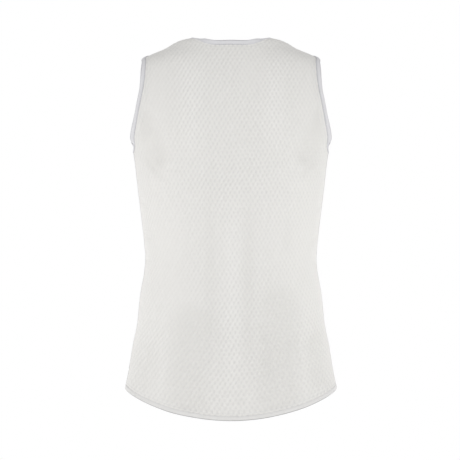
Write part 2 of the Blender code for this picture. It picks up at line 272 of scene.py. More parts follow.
# Similar creases for the front, which the photograph doesn't show.
FRONT_CREASES = (
    Crease(-0.074, -0.110, -0.128, -0.178, 0.020, -0.0014),
    Crease(0.078, -0.106, 0.126, -0.172, 0.018, -0.0013),
    Crease(-0.160, -0.196, -0.098, -0.240, 0.012, -0.0012),
    Crease(0.158, -0.200, 0.104, -0.236, 0.011, -0.0011),
    Crease(-0.050, -0.104, -0.026, -0.150, 0.015, 0.0009),
    Crease(0.048, -0.106, 0.020, -0.146, 0.014, 0.0009),
    Crease(-0.192, -0.330, -0.128, -0.352, 0.011, -0.0012),
    Crease(0.190, -0.338, 0.130, -0.350, 0.010, -0.0011),
    Crease(-0.188, -0.385, -0.140, -0.378, 0.009, -0.0009),
    Crease(0.186, -0.290, 0.146, -0.302, 0.009, -0.0009),
    Crease(-0.050, -0.420, -0.062, -0.580, 0.030, -0.0014),
    Crease(0.066, -0.440, 0.074, -0.585, 0.034, -0.0016),
    Crease(0.006, -0.300, 0.002, -0.560, 0.020, 0.0010),
)

# Where the photograph shows the knit drawn deeper, or pulled flat.
PATCHES = (
    Patch(0.052, -0.535, 0.040, 0.085, 0.60),
    Patch(-0.038, -0.600, 0.060, 0.040, 0.35),
    Patch(-0.088, -0.410, 0.062, 0.150, -0.55),
    Patch(0.074, -0.340, 0.046, 0.100, -0.35),
    Patch(-0.020, -0.235, 0.090, 0.045, 0.25),
    Patch(-0.120, -0.100, 0.050, 0.120, -0.45),
    Patch(0.030, -0.070, 0.028, 0.050, -0.40),
    Patch(0.085, -0.050, 0.040, 0.040, 0.35),
    Patch(0.135, -0.150, 0.045, 0.080, -0.40),
)


class Side(Enum):
    """Which half of the garment a panel is."""

    BACK = "back"
    FRONT = "front"

    @property
    def middle(self) -> float:
        """The angle round the form at which the panel's middle lies."""
        return 0.0 if self is Side.BACK else math.pi

    @property
    def sign(self) -> float:
        """The sign of Y on the panel."""
        return -1.0 if self is Side.BACK else 1.0


def hermite(value_a: Array, value_b: Array, slope_a: Array, slope_b: Array,
            span: Array, fraction: Array) -> Array:
    """The cubic between two values.

    Args:
        value_a: The value at the start.
        value_b: The value at the end.
        slope_a: The slope at the start.
        slope_b: The slope at the end.
        span: The distance from start to end.
        fraction: How far along, from 0 to 1.

    Returns:
        The cubic's value at the fraction.
    """
    square = fraction * fraction
    cube = square * fraction
    from_a = (2.0 * cube - 3.0 * square + 1.0) * value_a
    from_b = (3.0 * square - 2.0 * cube) * value_b
    by_slope_a = (cube - 2.0 * square + fraction) * span * slope_a
    by_slope_b = (cube - square) * span * slope_b
    return from_a + from_b + by_slope_a + by_slope_b


def smooth(value: Array) -> Array:
    """A value cut to 0..1 and eased at both ends."""
    cut = np.clip(value, 0.0, 1.0)
    return cut * cut * (3.0 - 2.0 * cut)


def running_length(points: Array) -> Array:
    """The distance along a run of points.

    Args:
        points: The points in order.

    Returns:
        Each point's distance, from 0 at the first.
    """
    steps = np.linalg.norm(np.diff(points, axis=-2), axis=-1)
    start = np.zeros(steps.shape[:-1] + (1,))
    return np.concatenate((start, np.cumsum(steps, axis=-1)), axis=-1)


def look_up(table: Array, row: Array, column: Array) -> Array:
    """Reads a table between its entries.

    Args:
        table: Values in rows and columns.
        row: Row positions, which may lie between rows.
        column: Column positions.

    Returns:
        The values there, weighted evenly between the four nearest entries.
    """
    row = np.clip(row, 0.0, table.shape[0] - LAST_CELL)
    column = np.clip(column, 0.0, table.shape[1] - LAST_CELL)
    low_row = row.astype(int)
    low_column = column.astype(int)
    row_share = row - low_row
    column_share = column - low_column
    upper = table[low_row, low_column] * (1.0 - column_share) + table[low_row, low_column + 1] * column_share
    lower = (table[low_row + 1, low_column] * (1.0 - column_share)
             + table[low_row + 1, low_column + 1] * column_share)
    return upper * (1.0 - row_share) + lower * row_share


@dataclass
class Form:
    """The hollow form that the cloth follows: rings from the neck to the hem, and soft folds."""

    rings: tuple[Ring, ...] = RINGS
    folds: tuple[Fold, ...] = FOLDS
    table: Array = field(init=False)
    slopes: Array = field(init=False)

    def __post_init__(self) -> None:
        """Works out the slopes of the curves through the rings."""
        self.table = np.array(self.rings)
        steps = np.diff(self.table[:, 1:], axis=0) / np.diff(self.table[:, :1], axis=0)
        self.slopes = np.zeros((len(self.rings), steps.shape[1]))
        self.slopes[0] = steps[0]
        self.slopes[-1] = steps[-1]
        product = steps[:-1] * steps[1:]
        total = np.where(product > 0.0, steps[:-1] + steps[1:], 1.0)
        self.slopes[1:-1] = np.where(product > 0.0, 2.0 * product / total, 0.0)

    def ring(self, height: Array) -> Array:
        """The ring at each height, as half width, back depth, front depth and squareness.

        Args:
            height: The heights.

        Returns:
            Four sizes for each height.
        """
        heights = self.table[:, 0]
        lower = np.clip(np.searchsorted(-heights, -height, side="left"), 1, len(heights) - 1)
        upper = lower - 1
        span = (heights[lower] - heights[upper])[..., None]
        fraction = (height - heights[upper])[..., None] / span
        values = self.table[:, 1:]
        return hermite(values[upper], values[lower], self.slopes[upper], self.slopes[lower], span, fraction)

    def fold_rise(self, angle: Array, height: Array, radius: Array) -> Array:
        """How far the folds lift the cloth off the form at each place.

        Args:
            angle: Angles on the form.
            height: Heights, one for each angle.
            radius: Distances from the form's axis.

        Returns:
            The rises.
        """
        rise = np.zeros(np.broadcast(angle, height).shape)
        for fold in self.folds:
            depth = smooth((fold.fade_height - height) / (fold.fade_height - fold.full_height))
            turn = np.remainder(angle - math.radians(fold.degrees) + math.pi, 2.0 * math.pi) - math.pi
            offset = np.minimum(np.abs(turn) * radius / fold.breadth, 1.0)
            rise = rise + fold.rise * depth * (0.5 + 0.5 * np.cos(math.pi * offset))
        return rise

    def point(self, angle: Array, height: Array) -> Array:
        """The form's points at angles and heights; angle 0 is the middle of the back.

        Args:
            angle: Angles on the form.
            height: Heights, one for each angle.

        Returns:
            A point for each pair.
        """
        angle, height = np.broadcast_arrays(np.asarray(angle, float), np.asarray(height, float))
        ring = self.ring(height)
        depth = np.where(np.cos(angle) > 0.0, ring[..., 1], ring[..., 2])
        power = ring[..., 3]
        across = np.abs(np.sin(angle) / ring[..., 0]) ** power
        along = np.abs(np.cos(angle) / depth) ** power
        radius = (across + along) ** (-1.0 / power)
        radius = radius + self.fold_rise(angle, height, radius)
        return np.stack((radius * np.sin(angle), -radius * np.cos(angle), height), axis=-1)

    def outward(self, angle: Array, height: Array) -> Array:
        """The directions that face out of the garment at angles and heights.

        Args:
            angle: Angles on the form.
            height: Heights, one for each angle.

        Returns:
            A direction of length 1 for each pair.
        """
        around = self.point(angle + SMALL_STEP, height) - self.point(angle - SMALL_STEP, height)
        upward = self.point(angle, height + SMALL_STEP) - self.point(angle, height - SMALL_STEP)
        normal = np.cross(around, upward)
        return normal / np.linalg.norm(normal, axis=-1, keepdims=True)

    def angle_at(self, y: Array, height: Array) -> Array:
        """The angles at which the form's right side lies at each y.

        Args:
            y: Places from back to front.
            height: Their heights.

        Returns:
            The angles.
        """
        ring = self.ring(height)
        depth = np.where(y < 0.0, ring[..., 1], ring[..., 2])
        share = np.minimum(np.abs(y) / depth, 1.0)
        x = ring[..., 0] * (1.0 - share ** ring[..., 3]) ** (1.0 / ring[..., 3])
        return np.arctan2(x, -y)

    def height_at(self, x: Array, y: Array) -> Array:
        """The heights at which the form's top passes over places in the plan, found by halving.

        Args:
            x: Places from side to side.
            y: Places from back to front.

        Returns:
            The heights.
        """
        low = np.full(np.broadcast(x, y).shape, WIDEST_LEVEL)
        high = np.full(low.shape, self.rings[0].height)
        for _ in range(HALVINGS):
            middle = (low + high) / 2.0
            ring = self.ring(middle)
            depth = np.where(y < 0.0, ring[..., 1], ring[..., 2])
            reach = (np.abs(x) / ring[..., 0]) ** ring[..., 3] + (np.abs(y) / depth) ** ring[..., 3]
            high = np.where(reach > 1.0, middle, high)
            low = np.where(reach > 1.0, low, middle)
        return (low + high) / 2.0


@dataclass
class Pattern:
    """The cut edges and seams of half a panel, as runs of (angle, height) pairs on the form."""

    form: Form
    side: Side

    def seam_y(self, y: Array) -> Array:
        """A seam's y, moved half the seam gap into the panel."""
        return y + self.side.sign * SEAM_GAP / 2.0

    def evenly(self, route: Array, steps: int) -> Array:
        """Places at even distances along a run.

        Args:
            route: (angle, height) pairs.
            steps: How many steps to cut the run into.

        Returns:
            steps + 1 pairs, both ends included.
        """
        lengths = running_length(self.form.point(route[:, 0], route[:, 1]))
        wanted = np.linspace(0.0, lengths[-1], steps + 1)
        return np.stack([np.interp(wanted, lengths, route[:, axis]) for axis in range(2)], axis=-1)

    def neck(self, samples: int = 600) -> Array:
        """The neck's cut edge, from the panel's middle to the shoulder seam: an oval from above.

        Args:
            samples: How many steps to read it in.

        Returns:
            The (angle, height) pairs.
        """
        back = self.side is Side.BACK
        ring = self.form.ring(np.array(BACK_NECK_HEIGHT if back else FRONT_NECK_HEIGHT))
        depth = -ring[1] if back else ring[2]
        power = 2.0 / (BACK_NECK_SQUARENESS if back else FRONT_NECK_SQUARENESS)
        turn = np.linspace(0.0, math.pi / 2.0, samples + 1)
        x = NECK_HALF_WIDTH * np.sin(turn) ** power
        y = self.seam_y(depth * np.maximum(np.cos(turn), 0.0) ** power)
        return np.stack((np.arctan2(x, -y), self.form.height_at(x, y)), axis=-1)

    def shoulder(self, samples: int = 160) -> Array:
        """The shoulder seam, from the neck to the armhole.

        Args:
            samples: How many steps to read it in.

        Returns:
            The (angle, height) pairs.
        """
        y = self.seam_y(np.array(0.0))
        start = float(self.form.height_at(np.array(NECK_HALF_WIDTH), y))
        height = np.linspace(start, ARMHOLE[-1].height, samples + 1)
        return np.stack((self.form.angle_at(y, height), height), axis=-1)

    def armhole(self, samples: int = 24) -> Array:
        """The armhole's cut edge, from the underarm to the shoulder.

        Args:
            samples: How many steps to read between two notches.

        Returns:
            The (angle, height) pairs.
        """
        back = self.side is Side.BACK
        sign = self.side.sign
        reaches = [notch.back_reach if back else notch.front_reach for notch in ARMHOLE]
        knots = np.array([(sign * reach, notch.height) for reach, notch in zip(reaches, ARMHOLE)])
        tangents = np.zeros_like(knots)
        tangents[1:-1] = (knots[2:] - knots[:-2]) / 2.0
        tangents[0] = (sign * abs(knots[1, 0] - knots[0, 0]), 0.0)
        tangents[-1] = (-sign * abs(knots[-1, 0] - knots[-2, 0]), 0.0)
        share = (np.arange(samples) / samples)[:, None]
        parts = [
            hermite(knots[index], knots[index + 1], tangents[index], tangents[index + 1], 1.0, share)
            for index in range(len(knots) - 1)
        ]
        pairs = np.concatenate(parts + [knots[-1:]])
        return np.stack((self.form.angle_at(self.seam_y(pairs[:, 0]), pairs[:, 1]), pairs[:, 1]), axis=-1)

    def hem_height(self, angle: Array) -> Array:
        """The hem's cut edge: lowest in the panel's middle, highest at the side.

        Args:
            angle: Angles on the form.

        Returns:
            The edge's heights.
        """
        lowest = self.form.rings[-1]
        reach = self.form.point(angle, lowest.height)[..., 0] / lowest.half_width
        behind = BACK_HEM_HEIGHT + BACK_HEM_CLIMB * reach ** 2
        before = FRONT_HEM_HEIGHT + FRONT_HEM_CLIMB * reach ** 2
        ahead = (self.side is Side.FRONT) & (np.cos(angle) < 0.0)
        return np.where(ahead, before, behind)

    def side_seam(self, samples: int = 240) -> Array:
        """The side seam, from the hem's cut edge up to the underarm.

        Args:
            samples: How many steps to read it in.

        Returns:
            The (angle, height) pairs.
        """
        start = float(self.hem_height(np.array(math.pi / 2.0)))
        height = np.linspace(start, ARMHOLE[0].height, samples + 1)
        y = np.full(height.shape, self.seam_y(np.array(-SIDE_SEAM_SETBACK)))
        return np.stack((self.form.angle_at(y, height), height), axis=-1)

    def hem(self, samples: int = 400) -> Array:
        """The hem's cut edge, from the panel's middle to the side seam."""
        angle = np.linspace(self.side.middle, self.side_seam()[0, 0], samples + 1)
        return np.stack((angle, self.hem_height(angle)), axis=-1)

    def half_grid(self) -> Array:
        """Half a panel's grid of (angle, height) pairs: each row runs from the middle to the edge.

        Returns:
            The rows, from the hem up.
        """
        hem = self.evenly(self.hem(), NECK_STEPS + SHOULDER_STEPS)
        top = np.concatenate((self.evenly(self.neck(), NECK_STEPS),
                              self.evenly(self.shoulder(), SHOULDER_STEPS)[1:]))
        edge = np.concatenate((self.evenly(self.side_seam(), SIDE_STEPS),
                               self.evenly(self.armhole(), ARMHOLE_STEPS)[1:]))
        middle = self.side.middle
        lower = np.array([(middle, hem[0, 1]), (middle, CHEST_HEIGHT)])
        upper = np.array([(middle, CHEST_HEIGHT), (middle, top[0, 1])])
        centre = np.concatenate((self.evenly(lower, SIDE_STEPS), self.evenly(upper, ARMHOLE_STEPS)[1:]))
        rows = []
        share = np.linspace(0.0, 1.0, len(hem))[:, None]
        for row in range(SIDE_STEPS + ARMHOLE_STEPS + 1):
            if row <= SIDE_STEPS:
                shape, weight = hem, 1.0 - row / SIDE_STEPS
            else:
                shape, weight = top, ((row - SIDE_STEPS) / ARMHOLE_STEPS) ** TOP_FADE
            bend = shape - (1.0 - share) * shape[0] - share * shape[-1]
            rows.append((1.0 - share) * centre[row] + share * edge[row] + weight * bend)
        return np.array(rows)

    def grid(self) -> Array:
        """A whole panel's grid, from its left edge to its right edge in each row.

        Returns:
            The rows, from the hem up.
        """
        right = self.half_grid()
        left = right[:, :0:-1] * np.array((-1.0, 1.0)) + np.array((2.0 * self.side.middle, 0.0))
        return np.concatenate((left, right), axis=1)


@dataclass
class TapeMeasure:
    """Distances on a panel's cloth: across it from its middle, and up it, as a tape would lie."""

    form: Form
    side: Side
    levels: int = 130
    turns: int = 240
    steps: int = 70
    across_table: Array = field(init=False)
    up_table: Array = field(init=False)
    upper_table: Array = field(init=False)

    def __post_init__(self) -> None:
        """Works out the tables that the distances are read from."""
        height = np.linspace(UPPER_LEVEL, LOWEST_LEVEL, self.levels)[:, None]
        turn = np.linspace(0.0, WIDEST_TURN, self.turns)[None, :]
        points = self.form.point(self.angle(turn), height)
        self.across_table = running_length(points)
        self.up_table = UPPER_LEVEL - running_length(points.swapaxes(0, 1)).T
        x = np.linspace(0.0, UPPER_REACH, self.steps)[:, None]
        y = self.start_y(x) * (1.0 - np.linspace(0.0, 1.0, self.steps)[None, :])
        x = np.broadcast_to(x, y.shape)
        self.upper_table = UPPER_LEVEL + running_length(np.stack((x, y, self.form.height_at(x, y)), axis=-1))

    def angle(self, turn: Array) -> Array:
        """The form's angle at a turn away from the panel's middle."""
        return turn if self.side is Side.BACK else math.pi - turn

    def start_y(self, x: Array) -> Array:
        """The cloth's y at the upper level, at each x.

        Args:
            x: Places from side to side.

        Returns:
            Their places from back to front.
        """
        ring = self.form.ring(np.array(UPPER_LEVEL))
        depth = ring[1] if self.side is Side.BACK else ring[2]
        share = np.clip(np.abs(x) / ring[0], 0.0, 1.0)
        return self.side.sign * depth * (1.0 - share ** ring[3]) ** (1.0 / ring[3])

    def read(self, angle: Array, height: Array) -> Array:
        """Measures places on the panel.

        Args:
            angle: The places' angles on the form.
            height: Their heights.

        Returns:
            The distance across from the panel's middle, and the distance up, for each place.
        """
        point = self.form.point(angle, height)
        x, y = np.abs(point[..., 0]), point[..., 1]
        upper = height > UPPER_LEVEL
        start_y = self.start_y(x)
        level_turn = np.arctan2(x, self.side.sign * start_y)
        turn = np.arctan2(x, self.side.sign * y)
        turn = np.where(upper, level_turn, turn)
        row = np.where(upper, 0.0, (UPPER_LEVEL - height) / (UPPER_LEVEL - LOWEST_LEVEL) * (self.levels - 1))
        column = turn / WIDEST_TURN * (self.turns - 1)
        across = look_up(self.across_table, row, column)
        up = look_up(self.up_table, row, column)
        share = np.clip(1.0 - y / start_y, 0.0, 1.0)
        over = look_up(self.upper_table, x / UPPER_REACH * (self.steps - 1), share * (self.steps - 1))
        up = np.where(upper, over, up)
        return np.stack((np.sign(point[..., 0]) * across, up), axis=-1)


@dataclass(frozen=True)
class DiamondMesh:
    """The knitted mesh: staggered diamond eyelets between crossing strands.

    A cell is one diamond wide and high. Cells stretch at the hips, and their rows bend with the
    hem. Strands cross at whole cells and at half cells, with an eyelet between them.
    """

    cell_height: float = 0.0132
    stretch: tuple[tuple[float, float], ...] = (
        (-0.64, 0.0088), (-0.57, 0.0085), (-0.50, 0.0078), (-0.42, 0.0071),
        (-0.34, 0.0069), (-0.24, 0.0072), (-0.10, 0.0073), (0.06, 0.0073),
    )
    hem_climb: float = 0.040
    bend_starts: float = -0.26
    bend_reach: float = 0.34
    half_breadth: float = 0.23
    sway: float = 0.0013
    sway_rates: tuple[float, float, float] = (58.0, 21.0, 0.7)
    lift: float = 0.0016
    lift_rates: tuple[float, float, float] = (44.0, 17.0, 1.9)
    ripple: float = 0.0007
    ripple_rate: float = 103.0
    strand_rise: float = 0.00060
    eyelet_sink: float = 0.00080
    strength: tuple[tuple[float, float], ...] = (
        (-0.64, 1.35), (-0.50, 1.30), (-0.42, 0.85), (-0.34, 0.66),
        (-0.26, 0.95), (-0.10, 0.92), (0.06, 0.76),
    )
    pull: float = 0.12
    pull_middle: float = -0.13
    pull_breadth: float = 0.060
    side_strength: float = 0.62
    side_starts: float = 0.055
    side_reach: float = 0.090
    drag_starts: float = -0.40
    drag_reach: float = 0.10
    drag_breadth: float = 0.060
    drag_share: float = 0.75
    unevenness: float = 0.10
    uneven_rates: tuple[float, float, float] = (63.0, 25.0, 14.0)
    uneven_starts: tuple[float, float] = (0.8, 0.5)
    patches: tuple[Patch, ...] = PATCHES

    def cell_width(self, up: Array) -> Array:
        """A cell's width at each distance up the cloth."""
        levels, widths = zip(*self.stretch)
        return np.interp(up, levels, widths)

    def drift(self, across: Array, up: Array) -> tuple[Array, Array]:
        """How far the cloth has pulled the mesh out of line, across and up.

        Args:
            across: Distances across the cloth.
            up: Distances up it.

        Returns:
            The shifts across, and the shifts up.
        """
        bend = smooth((self.bend_starts - up) / self.bend_reach) * (across / self.half_breadth) ** 2
        rate, cross_rate, start = self.sway_rates
        sway = self.sway * np.sin(up * rate + start) * np.cos(across * cross_rate)
        rate, cross_rate, start = self.lift_rates
        lift = self.lift * np.sin(across * rate + start) * np.cos(up * cross_rate)
        ripple = self.ripple * np.sin(across * self.ripple_rate)
        return sway, self.hem_climb * bend + lift + ripple

    def place(self, column: Array, row: Array) -> Array:
        """Where cells lie on the cloth, as distances across and up.

        Args:
            column: The cells' columns.
            row: Their rows.

        Returns:
            Pairs of distances across and up.
        """
        up = row * self.cell_height
        across = column * self.cell_width(up)
        sway, lift = self.drift(across, up)
        return np.stack((across + sway, up + lift), axis=-1)

    def cells(self, across: Array, up: Array) -> Array:
        """Which cells lie at distances across and up the cloth, found by repeating.

        Args:
            across: Distances across the cloth.
            up: Distances up it.

        Returns:
            Pairs of a column and a row.
        """
        plain_across, plain_up = across, up
        for _ in range(CORRECTIONS):
            sway, lift = self.drift(plain_across, plain_up)
            plain_across, plain_up = across - sway, up - lift
        return np.stack((plain_across / self.cell_width(plain_up), plain_up / self.cell_height), axis=-1)

    def pulled(self, place: Array) -> Array:
        """How much tighter the strands that rise to the left are than the others, across a panel."""
        return self.pull_middle + self.pull * np.tanh(place[..., 0] / self.pull_breadth)

    def depth(self, place: Array) -> Array:
        """How deep the knit stands at distances across and up a panel; 1 is its usual depth.

        Args:
            place: Pairs of distances across and up.

        Returns:
            The depths.
        """
        levels, strengths = zip(*self.strength)
        middle = np.interp(place[..., 1], levels, strengths)
        across, up = place[..., 0], place[..., 1]
        aside = smooth((np.abs(across) - self.side_starts) / self.side_reach)
        dragged = smooth((self.drag_starts - up) / self.drag_reach) * smooth(across / self.drag_breadth)
        aside = aside * (1.0 - self.drag_share * dragged)
        rate, up_rate, slant = self.uneven_rates
        start, up_start = self.uneven_starts
        patchy = self.unevenness * np.cos(across * rate + start)
        patchy = patchy * np.cos(up * up_rate + across * slant + up_start)
        for patch in self.patches:
            reach = np.hypot((across - patch.across) / patch.half_width, (up - patch.up) / patch.half_length)
            patchy = patchy + patch.gain * smooth(1.0 - reach)
        return middle * (1.0 + (self.side_strength - 1.0) * aside) * (1.0 + patchy)

    def rise(self, cells: Array, place: Array) -> Array:
        """How far the strands stand out, or the eyelets sink.

        Args:
            cells: Places in the cells.
            place: Their distances across and up the panel.

        Returns:
            The rise at each place.
        """
        first = np.cos(2.0 * math.pi * (cells[..., 0] + cells[..., 1]))
        second = np.cos(2.0 * math.pi * (cells[..., 0] - cells[..., 1]))
        pull = self.pulled(place)
        level = (first * (1.0 + pull) + second * (1.0 - pull)) / 2.0 * self.depth(place)
        return np.where(level > 0.0, level * self.strand_rise, level * self.eyelet_sink)


def crease_rise(creases: tuple[Crease, ...], place: Array) -> Array:
    """How far creases lift the cloth, or sink it.

    Args:
        creases: The panel's creases.
        place: Distances across and up the panel.

    Returns:
        The rise at each place.
    """
    rise = np.zeros(place.shape[:-1])
    for crease in creases:
        start = np.array((crease.across_from, crease.up_from))
        run = np.array((crease.across_to, crease.up_to)) - start
        length = float(np.linalg.norm(run))
        along = ((place - start) @ run) / length ** 2
        nearest = start + np.clip(along, 0.0, 1.0)[..., None] * run
        offset = np.linalg.norm(place - nearest, axis=-1) / crease.breadth
        past = crease.breadth / length
        taper = smooth((along + past) * CREASE_TAPER) * smooth((1.0 + past - along) * CREASE_TAPER)
        rise = rise + crease.rise * taper * np.clip(1.0 - offset ** 2, 0.0, 1.0) ** 2
    return rise


@dataclass
class Layer:
    """One face of a panel's cloth: its places, and the triangles between them."""

    pairs: Array
    place: Array
    triangles: Array


class Fields(NamedTuple):
    """What a cloth mesh carries at each vertex, besides its place."""

    weave: Array
    edge: Array
    seam: Array
    crease: Array
    pull: Array
    depth: Array


def make_object(name: str, points: Array, faces: list[tuple[int, ...]]) -> Object:
    """A smooth-shaded mesh object at the origin, linked to the scene.

    Args:
        name: The object's name.
        points: Its points.
        faces: Its faces, as numbers of points.

    Returns:
        The object.
    """
    mesh = bpy.data.meshes.new(name)
    mesh.from_pydata(points.tolist(), [], faces)
    mesh.shade_smooth()
    mesh.update()
    made = bpy.data.objects.new(name, mesh)
    bpy.context.scene.collection.objects.link(made)
    return made


def set_uv(mesh: bpy.types.Mesh, name: str, values: Array) -> None:
    """Gives a mesh a UV map from one pair of values for each vertex.

    Args:
        mesh: The mesh.
        name: The map's name.
        values: A pair for each vertex.
    """
    loops = np.zeros(len(mesh.loops), dtype=np.int32)
    mesh.loops.foreach_get("vertex_index", loops)
    layer = mesh.uv_layers.new(name=name)
    layer.data.foreach_set("uv", values[loops].astype(np.float32).ravel())


def set_number(mesh: bpy.types.Mesh, name: str, values: Array) -> None:
    """Gives a mesh a number at each vertex."""
    attribute = mesh.attributes.new(name, "FLOAT", "POINT")
    attribute.data.foreach_set("value", values.astype(np.float32))


def report(piece: Object) -> None:
    """Logs a piece's name and its number of triangles."""
    piece.data.calc_loop_triangles()
    LOG.info("%s: %d triangles", piece.name, len(piece.data.loop_triangles))


@dataclass
class Panel:
    """A panel of mesh cloth: a thin shell, knitted outside and smooth inside."""

    form: Form
    side: Side
    weave: DiamondMesh
    creases: tuple[Crease, ...]
    wall: float = 0.0011
    fine_across: float = 0.25
    fine_up: float = 0.125
    spare_columns: int = 8
    spare_rows: int = 12
    inner_pitch: float = 0.0042
    inner_row_share: float = 0.866
    clear: float = 0.0008
    press: float = 0.0040
    pressed: float = 0.25
    sunk: float = 0.00020
    crease_margin: float = 0.012
    pattern: Pattern = field(init=False)
    tape: TapeMeasure = field(init=False)
    grid_pairs: Array = field(init=False)
    flat: Array = field(init=False)
    flat_triangles: Array = field(init=False)
    tree: BVHTree = field(init=False)
    outline: Array = field(init=False)
    bound: Array = field(init=False)
    seams: Array = field(init=False)

    def __post_init__(self) -> None:
        """Measures the panel and lays its outline flat."""
        self.pattern = Pattern(self.form, self.side)
        self.tape = TapeMeasure(self.form, self.side)
        grid = self.pattern.grid()
        rows, columns = grid.shape[:2]
        self.grid_pairs = grid.reshape(-1, 2)
        self.flat = self.tape.read(self.grid_pairs[:, 0], self.grid_pairs[:, 1])
        number = np.arange(rows * columns).reshape(rows, columns)
        corner = number[:-1, :-1].ravel()
        beside, above, across = corner + 1, corner + columns, corner + columns + 1
        self.flat_triangles = np.concatenate((np.stack((corner, beside, across), axis=-1),
                                              np.stack((corner, across, above), axis=-1)))
        spots = np.concatenate((self.flat, np.zeros((len(self.flat), 1))), axis=1)
        self.tree = BVHTree.FromPolygons(spots.tolist(), self.flat_triangles.tolist())
        shoulder, last = SHOULDER_STEPS, columns - 1
        hem, top, left, right = number[0], number[-1], number[:, 0], number[:, -1]
        self.outline = np.concatenate((hem[:-1], right[:-1], top[:0:-1], left[:0:-1]))
        self.bound = np.concatenate((hem, top[shoulder:last - shoulder + 1], left[SIDE_STEPS:],
                                     right[SIDE_STEPS:]))
        self.seams = np.concatenate((left[:SIDE_STEPS + 1], right[:SIDE_STEPS + 1], top[:shoulder + 1],
                                     top[last - shoulder:]))

    def find(self, spots: Array) -> tuple[Array, Array]:
        """Finds places on the flat panel.

        Args:
            spots: Distances across and up.

        Returns:
            Which spots lie on the panel, and their (angle, height) pairs.
        """
        down = Vector((0.0, 0.0, -1.0))
        hits = [self.tree.ray_cast(Vector((across, up, 1.0)), down)[2] for across, up in spots.tolist()]
        inside = np.array([hit is not None for hit in hits])
        corners = self.flat_triangles[np.array([hit for hit in hits if hit is not None])]
        first, second, third = (self.flat[corners[:, index]] for index in range(3))
        offset = spots[inside] - first
        one, two = second - first, third - first
        area = one[:, 0] * two[:, 1] - one[:, 1] * two[:, 0]
        to_one = ((offset[:, 0] * two[:, 1] - offset[:, 1] * two[:, 0]) / area)[:, None]
        to_two = ((one[:, 0] * offset[:, 1] - one[:, 1] * offset[:, 0]) / area)[:, None]
        pairs = [self.grid_pairs[corners[:, index]] for index in range(3)]
        return inside, pairs[0] * (1.0 - to_one - to_two) + pairs[1] * to_one + pairs[2] * to_two

    def away_from_outline(self, spots: Array) -> Array:
        """Which flat spots are clear of the panel's outline.

        Args:
            spots: Pairs of distances across and up.

        Returns:
            True for each clear spot.
        """
        corners = self.flat[self.outline]
        ends = np.roll(corners, -1, axis=0)
        shares = np.arange(OUTLINE_MARKS) / OUTLINE_MARKS
        marks = np.concatenate([corners + (ends - corners) * share for share in shares])
        tree = KDTree(len(marks))
        for index, (across, up) in enumerate(marks.tolist()):
            tree.insert((across, up, 0.0), index)
        tree.balance()
        return np.array([tree.find((across, up, 0.0))[2] > self.clear for across, up in spots.tolist()])

    def layer(self, spots: Array) -> Layer:
        """Joins flat spots and the outline into one face of triangles.

        Args:
            spots: Pairs of distances across and up.

        Returns:
            The face's places and triangles.
        """
        inside, pairs = self.find(spots)
        spots = spots[inside]
        keep = self.away_from_outline(spots)
        place = np.concatenate((self.flat[self.outline], spots[keep]))
        pairs = np.concatenate((self.grid_pairs[self.outline], pairs[keep]))
        border = list(range(len(self.outline)))
        spots = [Vector(spot) for spot in place.tolist()]
        _, _, faces, from_spots, _, from_faces = delaunay_2d_cdt(
            spots, [], [border], WITHIN_OUTLINE, MERGE_WITHIN, True)
        original = np.array([sources[0] for sources in from_spots])
        within = np.array([bool(sources) for sources in from_faces])
        triangles = original[np.array(faces)[within]]
        corner = place[triangles]
        one, two = corner[:, 1] - corner[:, 0], corner[:, 2] - corner[:, 0]
        flipped = one[:, 0] * two[:, 1] - one[:, 1] * two[:, 0] < 0.0
        if self.side is Side.FRONT:
            flipped = ~flipped
        triangles[flipped] = triangles[flipped][:, ::-1]
        return Layer(pairs, place, triangles)

    def knit_spots(self) -> Array:
        """Flat spots in step with the mesh's strands and eyelets.

        Returns:
            Pairs of distances across and up.
        """
        low, high = self.flat.min(axis=0), self.flat.max(axis=0)
        cell, row_height = self.weave.stretch[-1][1], self.weave.cell_height * self.fine_up
        columns = int(max(-low[0], high[0]) / cell / self.fine_across) + self.spare_columns
        rows = range(int(low[1] / row_height) - self.spare_rows, int(high[1] / row_height) + self.spare_rows)
        across = np.arange(-columns, columns + 1) * self.fine_across
        spots = [
            self.weave.place(across + (self.fine_across / 2.0 if row % 2 else 0.0),
                             np.full(across.shape, row * self.fine_up))
            for row in rows
        ]
        return np.concatenate(spots)

    def plain_spots(self) -> Array:
        """Flat spots at an even pitch, for the smooth inside.

        Returns:
            Pairs of distances across and up.
        """
        low, high = self.flat.min(axis=0), self.flat.max(axis=0)
        across = np.arange(low[0], high[0], self.inner_pitch)
        spots = []
        for row, up in enumerate(np.arange(low[1], high[1], self.inner_pitch * self.inner_row_share)):
            shift = self.inner_pitch / 2.0 if row % 2 else 0.0
            spots.append(np.stack((across + shift, np.full(across.shape, up)), axis=-1))
        return np.concatenate(spots)

    def nearness(self, marks: Array, points: Array) -> Array:
        """Each point's distance from the nearest of the grid's marked places.

        Args:
            marks: Numbers of the marked places.
            points: The points.

        Returns:
            The distances.
        """
        spots = self.form.point(self.grid_pairs[marks, 0], self.grid_pairs[marks, 1])
        tree = KDTree(len(spots))
        for index, spot in enumerate(spots.tolist()):
            tree.insert(spot, index)
        tree.balance()
        return np.array([tree.find(point)[2] for point in points.tolist()])

    def fields(self, layer: Layer, points: Array) -> Fields:
        """What the cloth's material reads at each place of a layer.

        Args:
            layer: The layer.
            points: Its places on the form.

        Returns:
            The values.
        """
        cells = self.weave.cells(layer.place[:, 0], layer.place[:, 1])
        edge, seam = self.nearness(self.bound, points), self.nearness(self.seams, points)
        crease = crease_rise(self.creases, layer.place)
        crease = crease * smooth(np.minimum(edge, seam) / self.crease_margin)
        pull, depth = self.weave.pulled(layer.place), self.weave.depth(layer.place)
        return Fields(cells, edge, seam, crease, pull, depth)

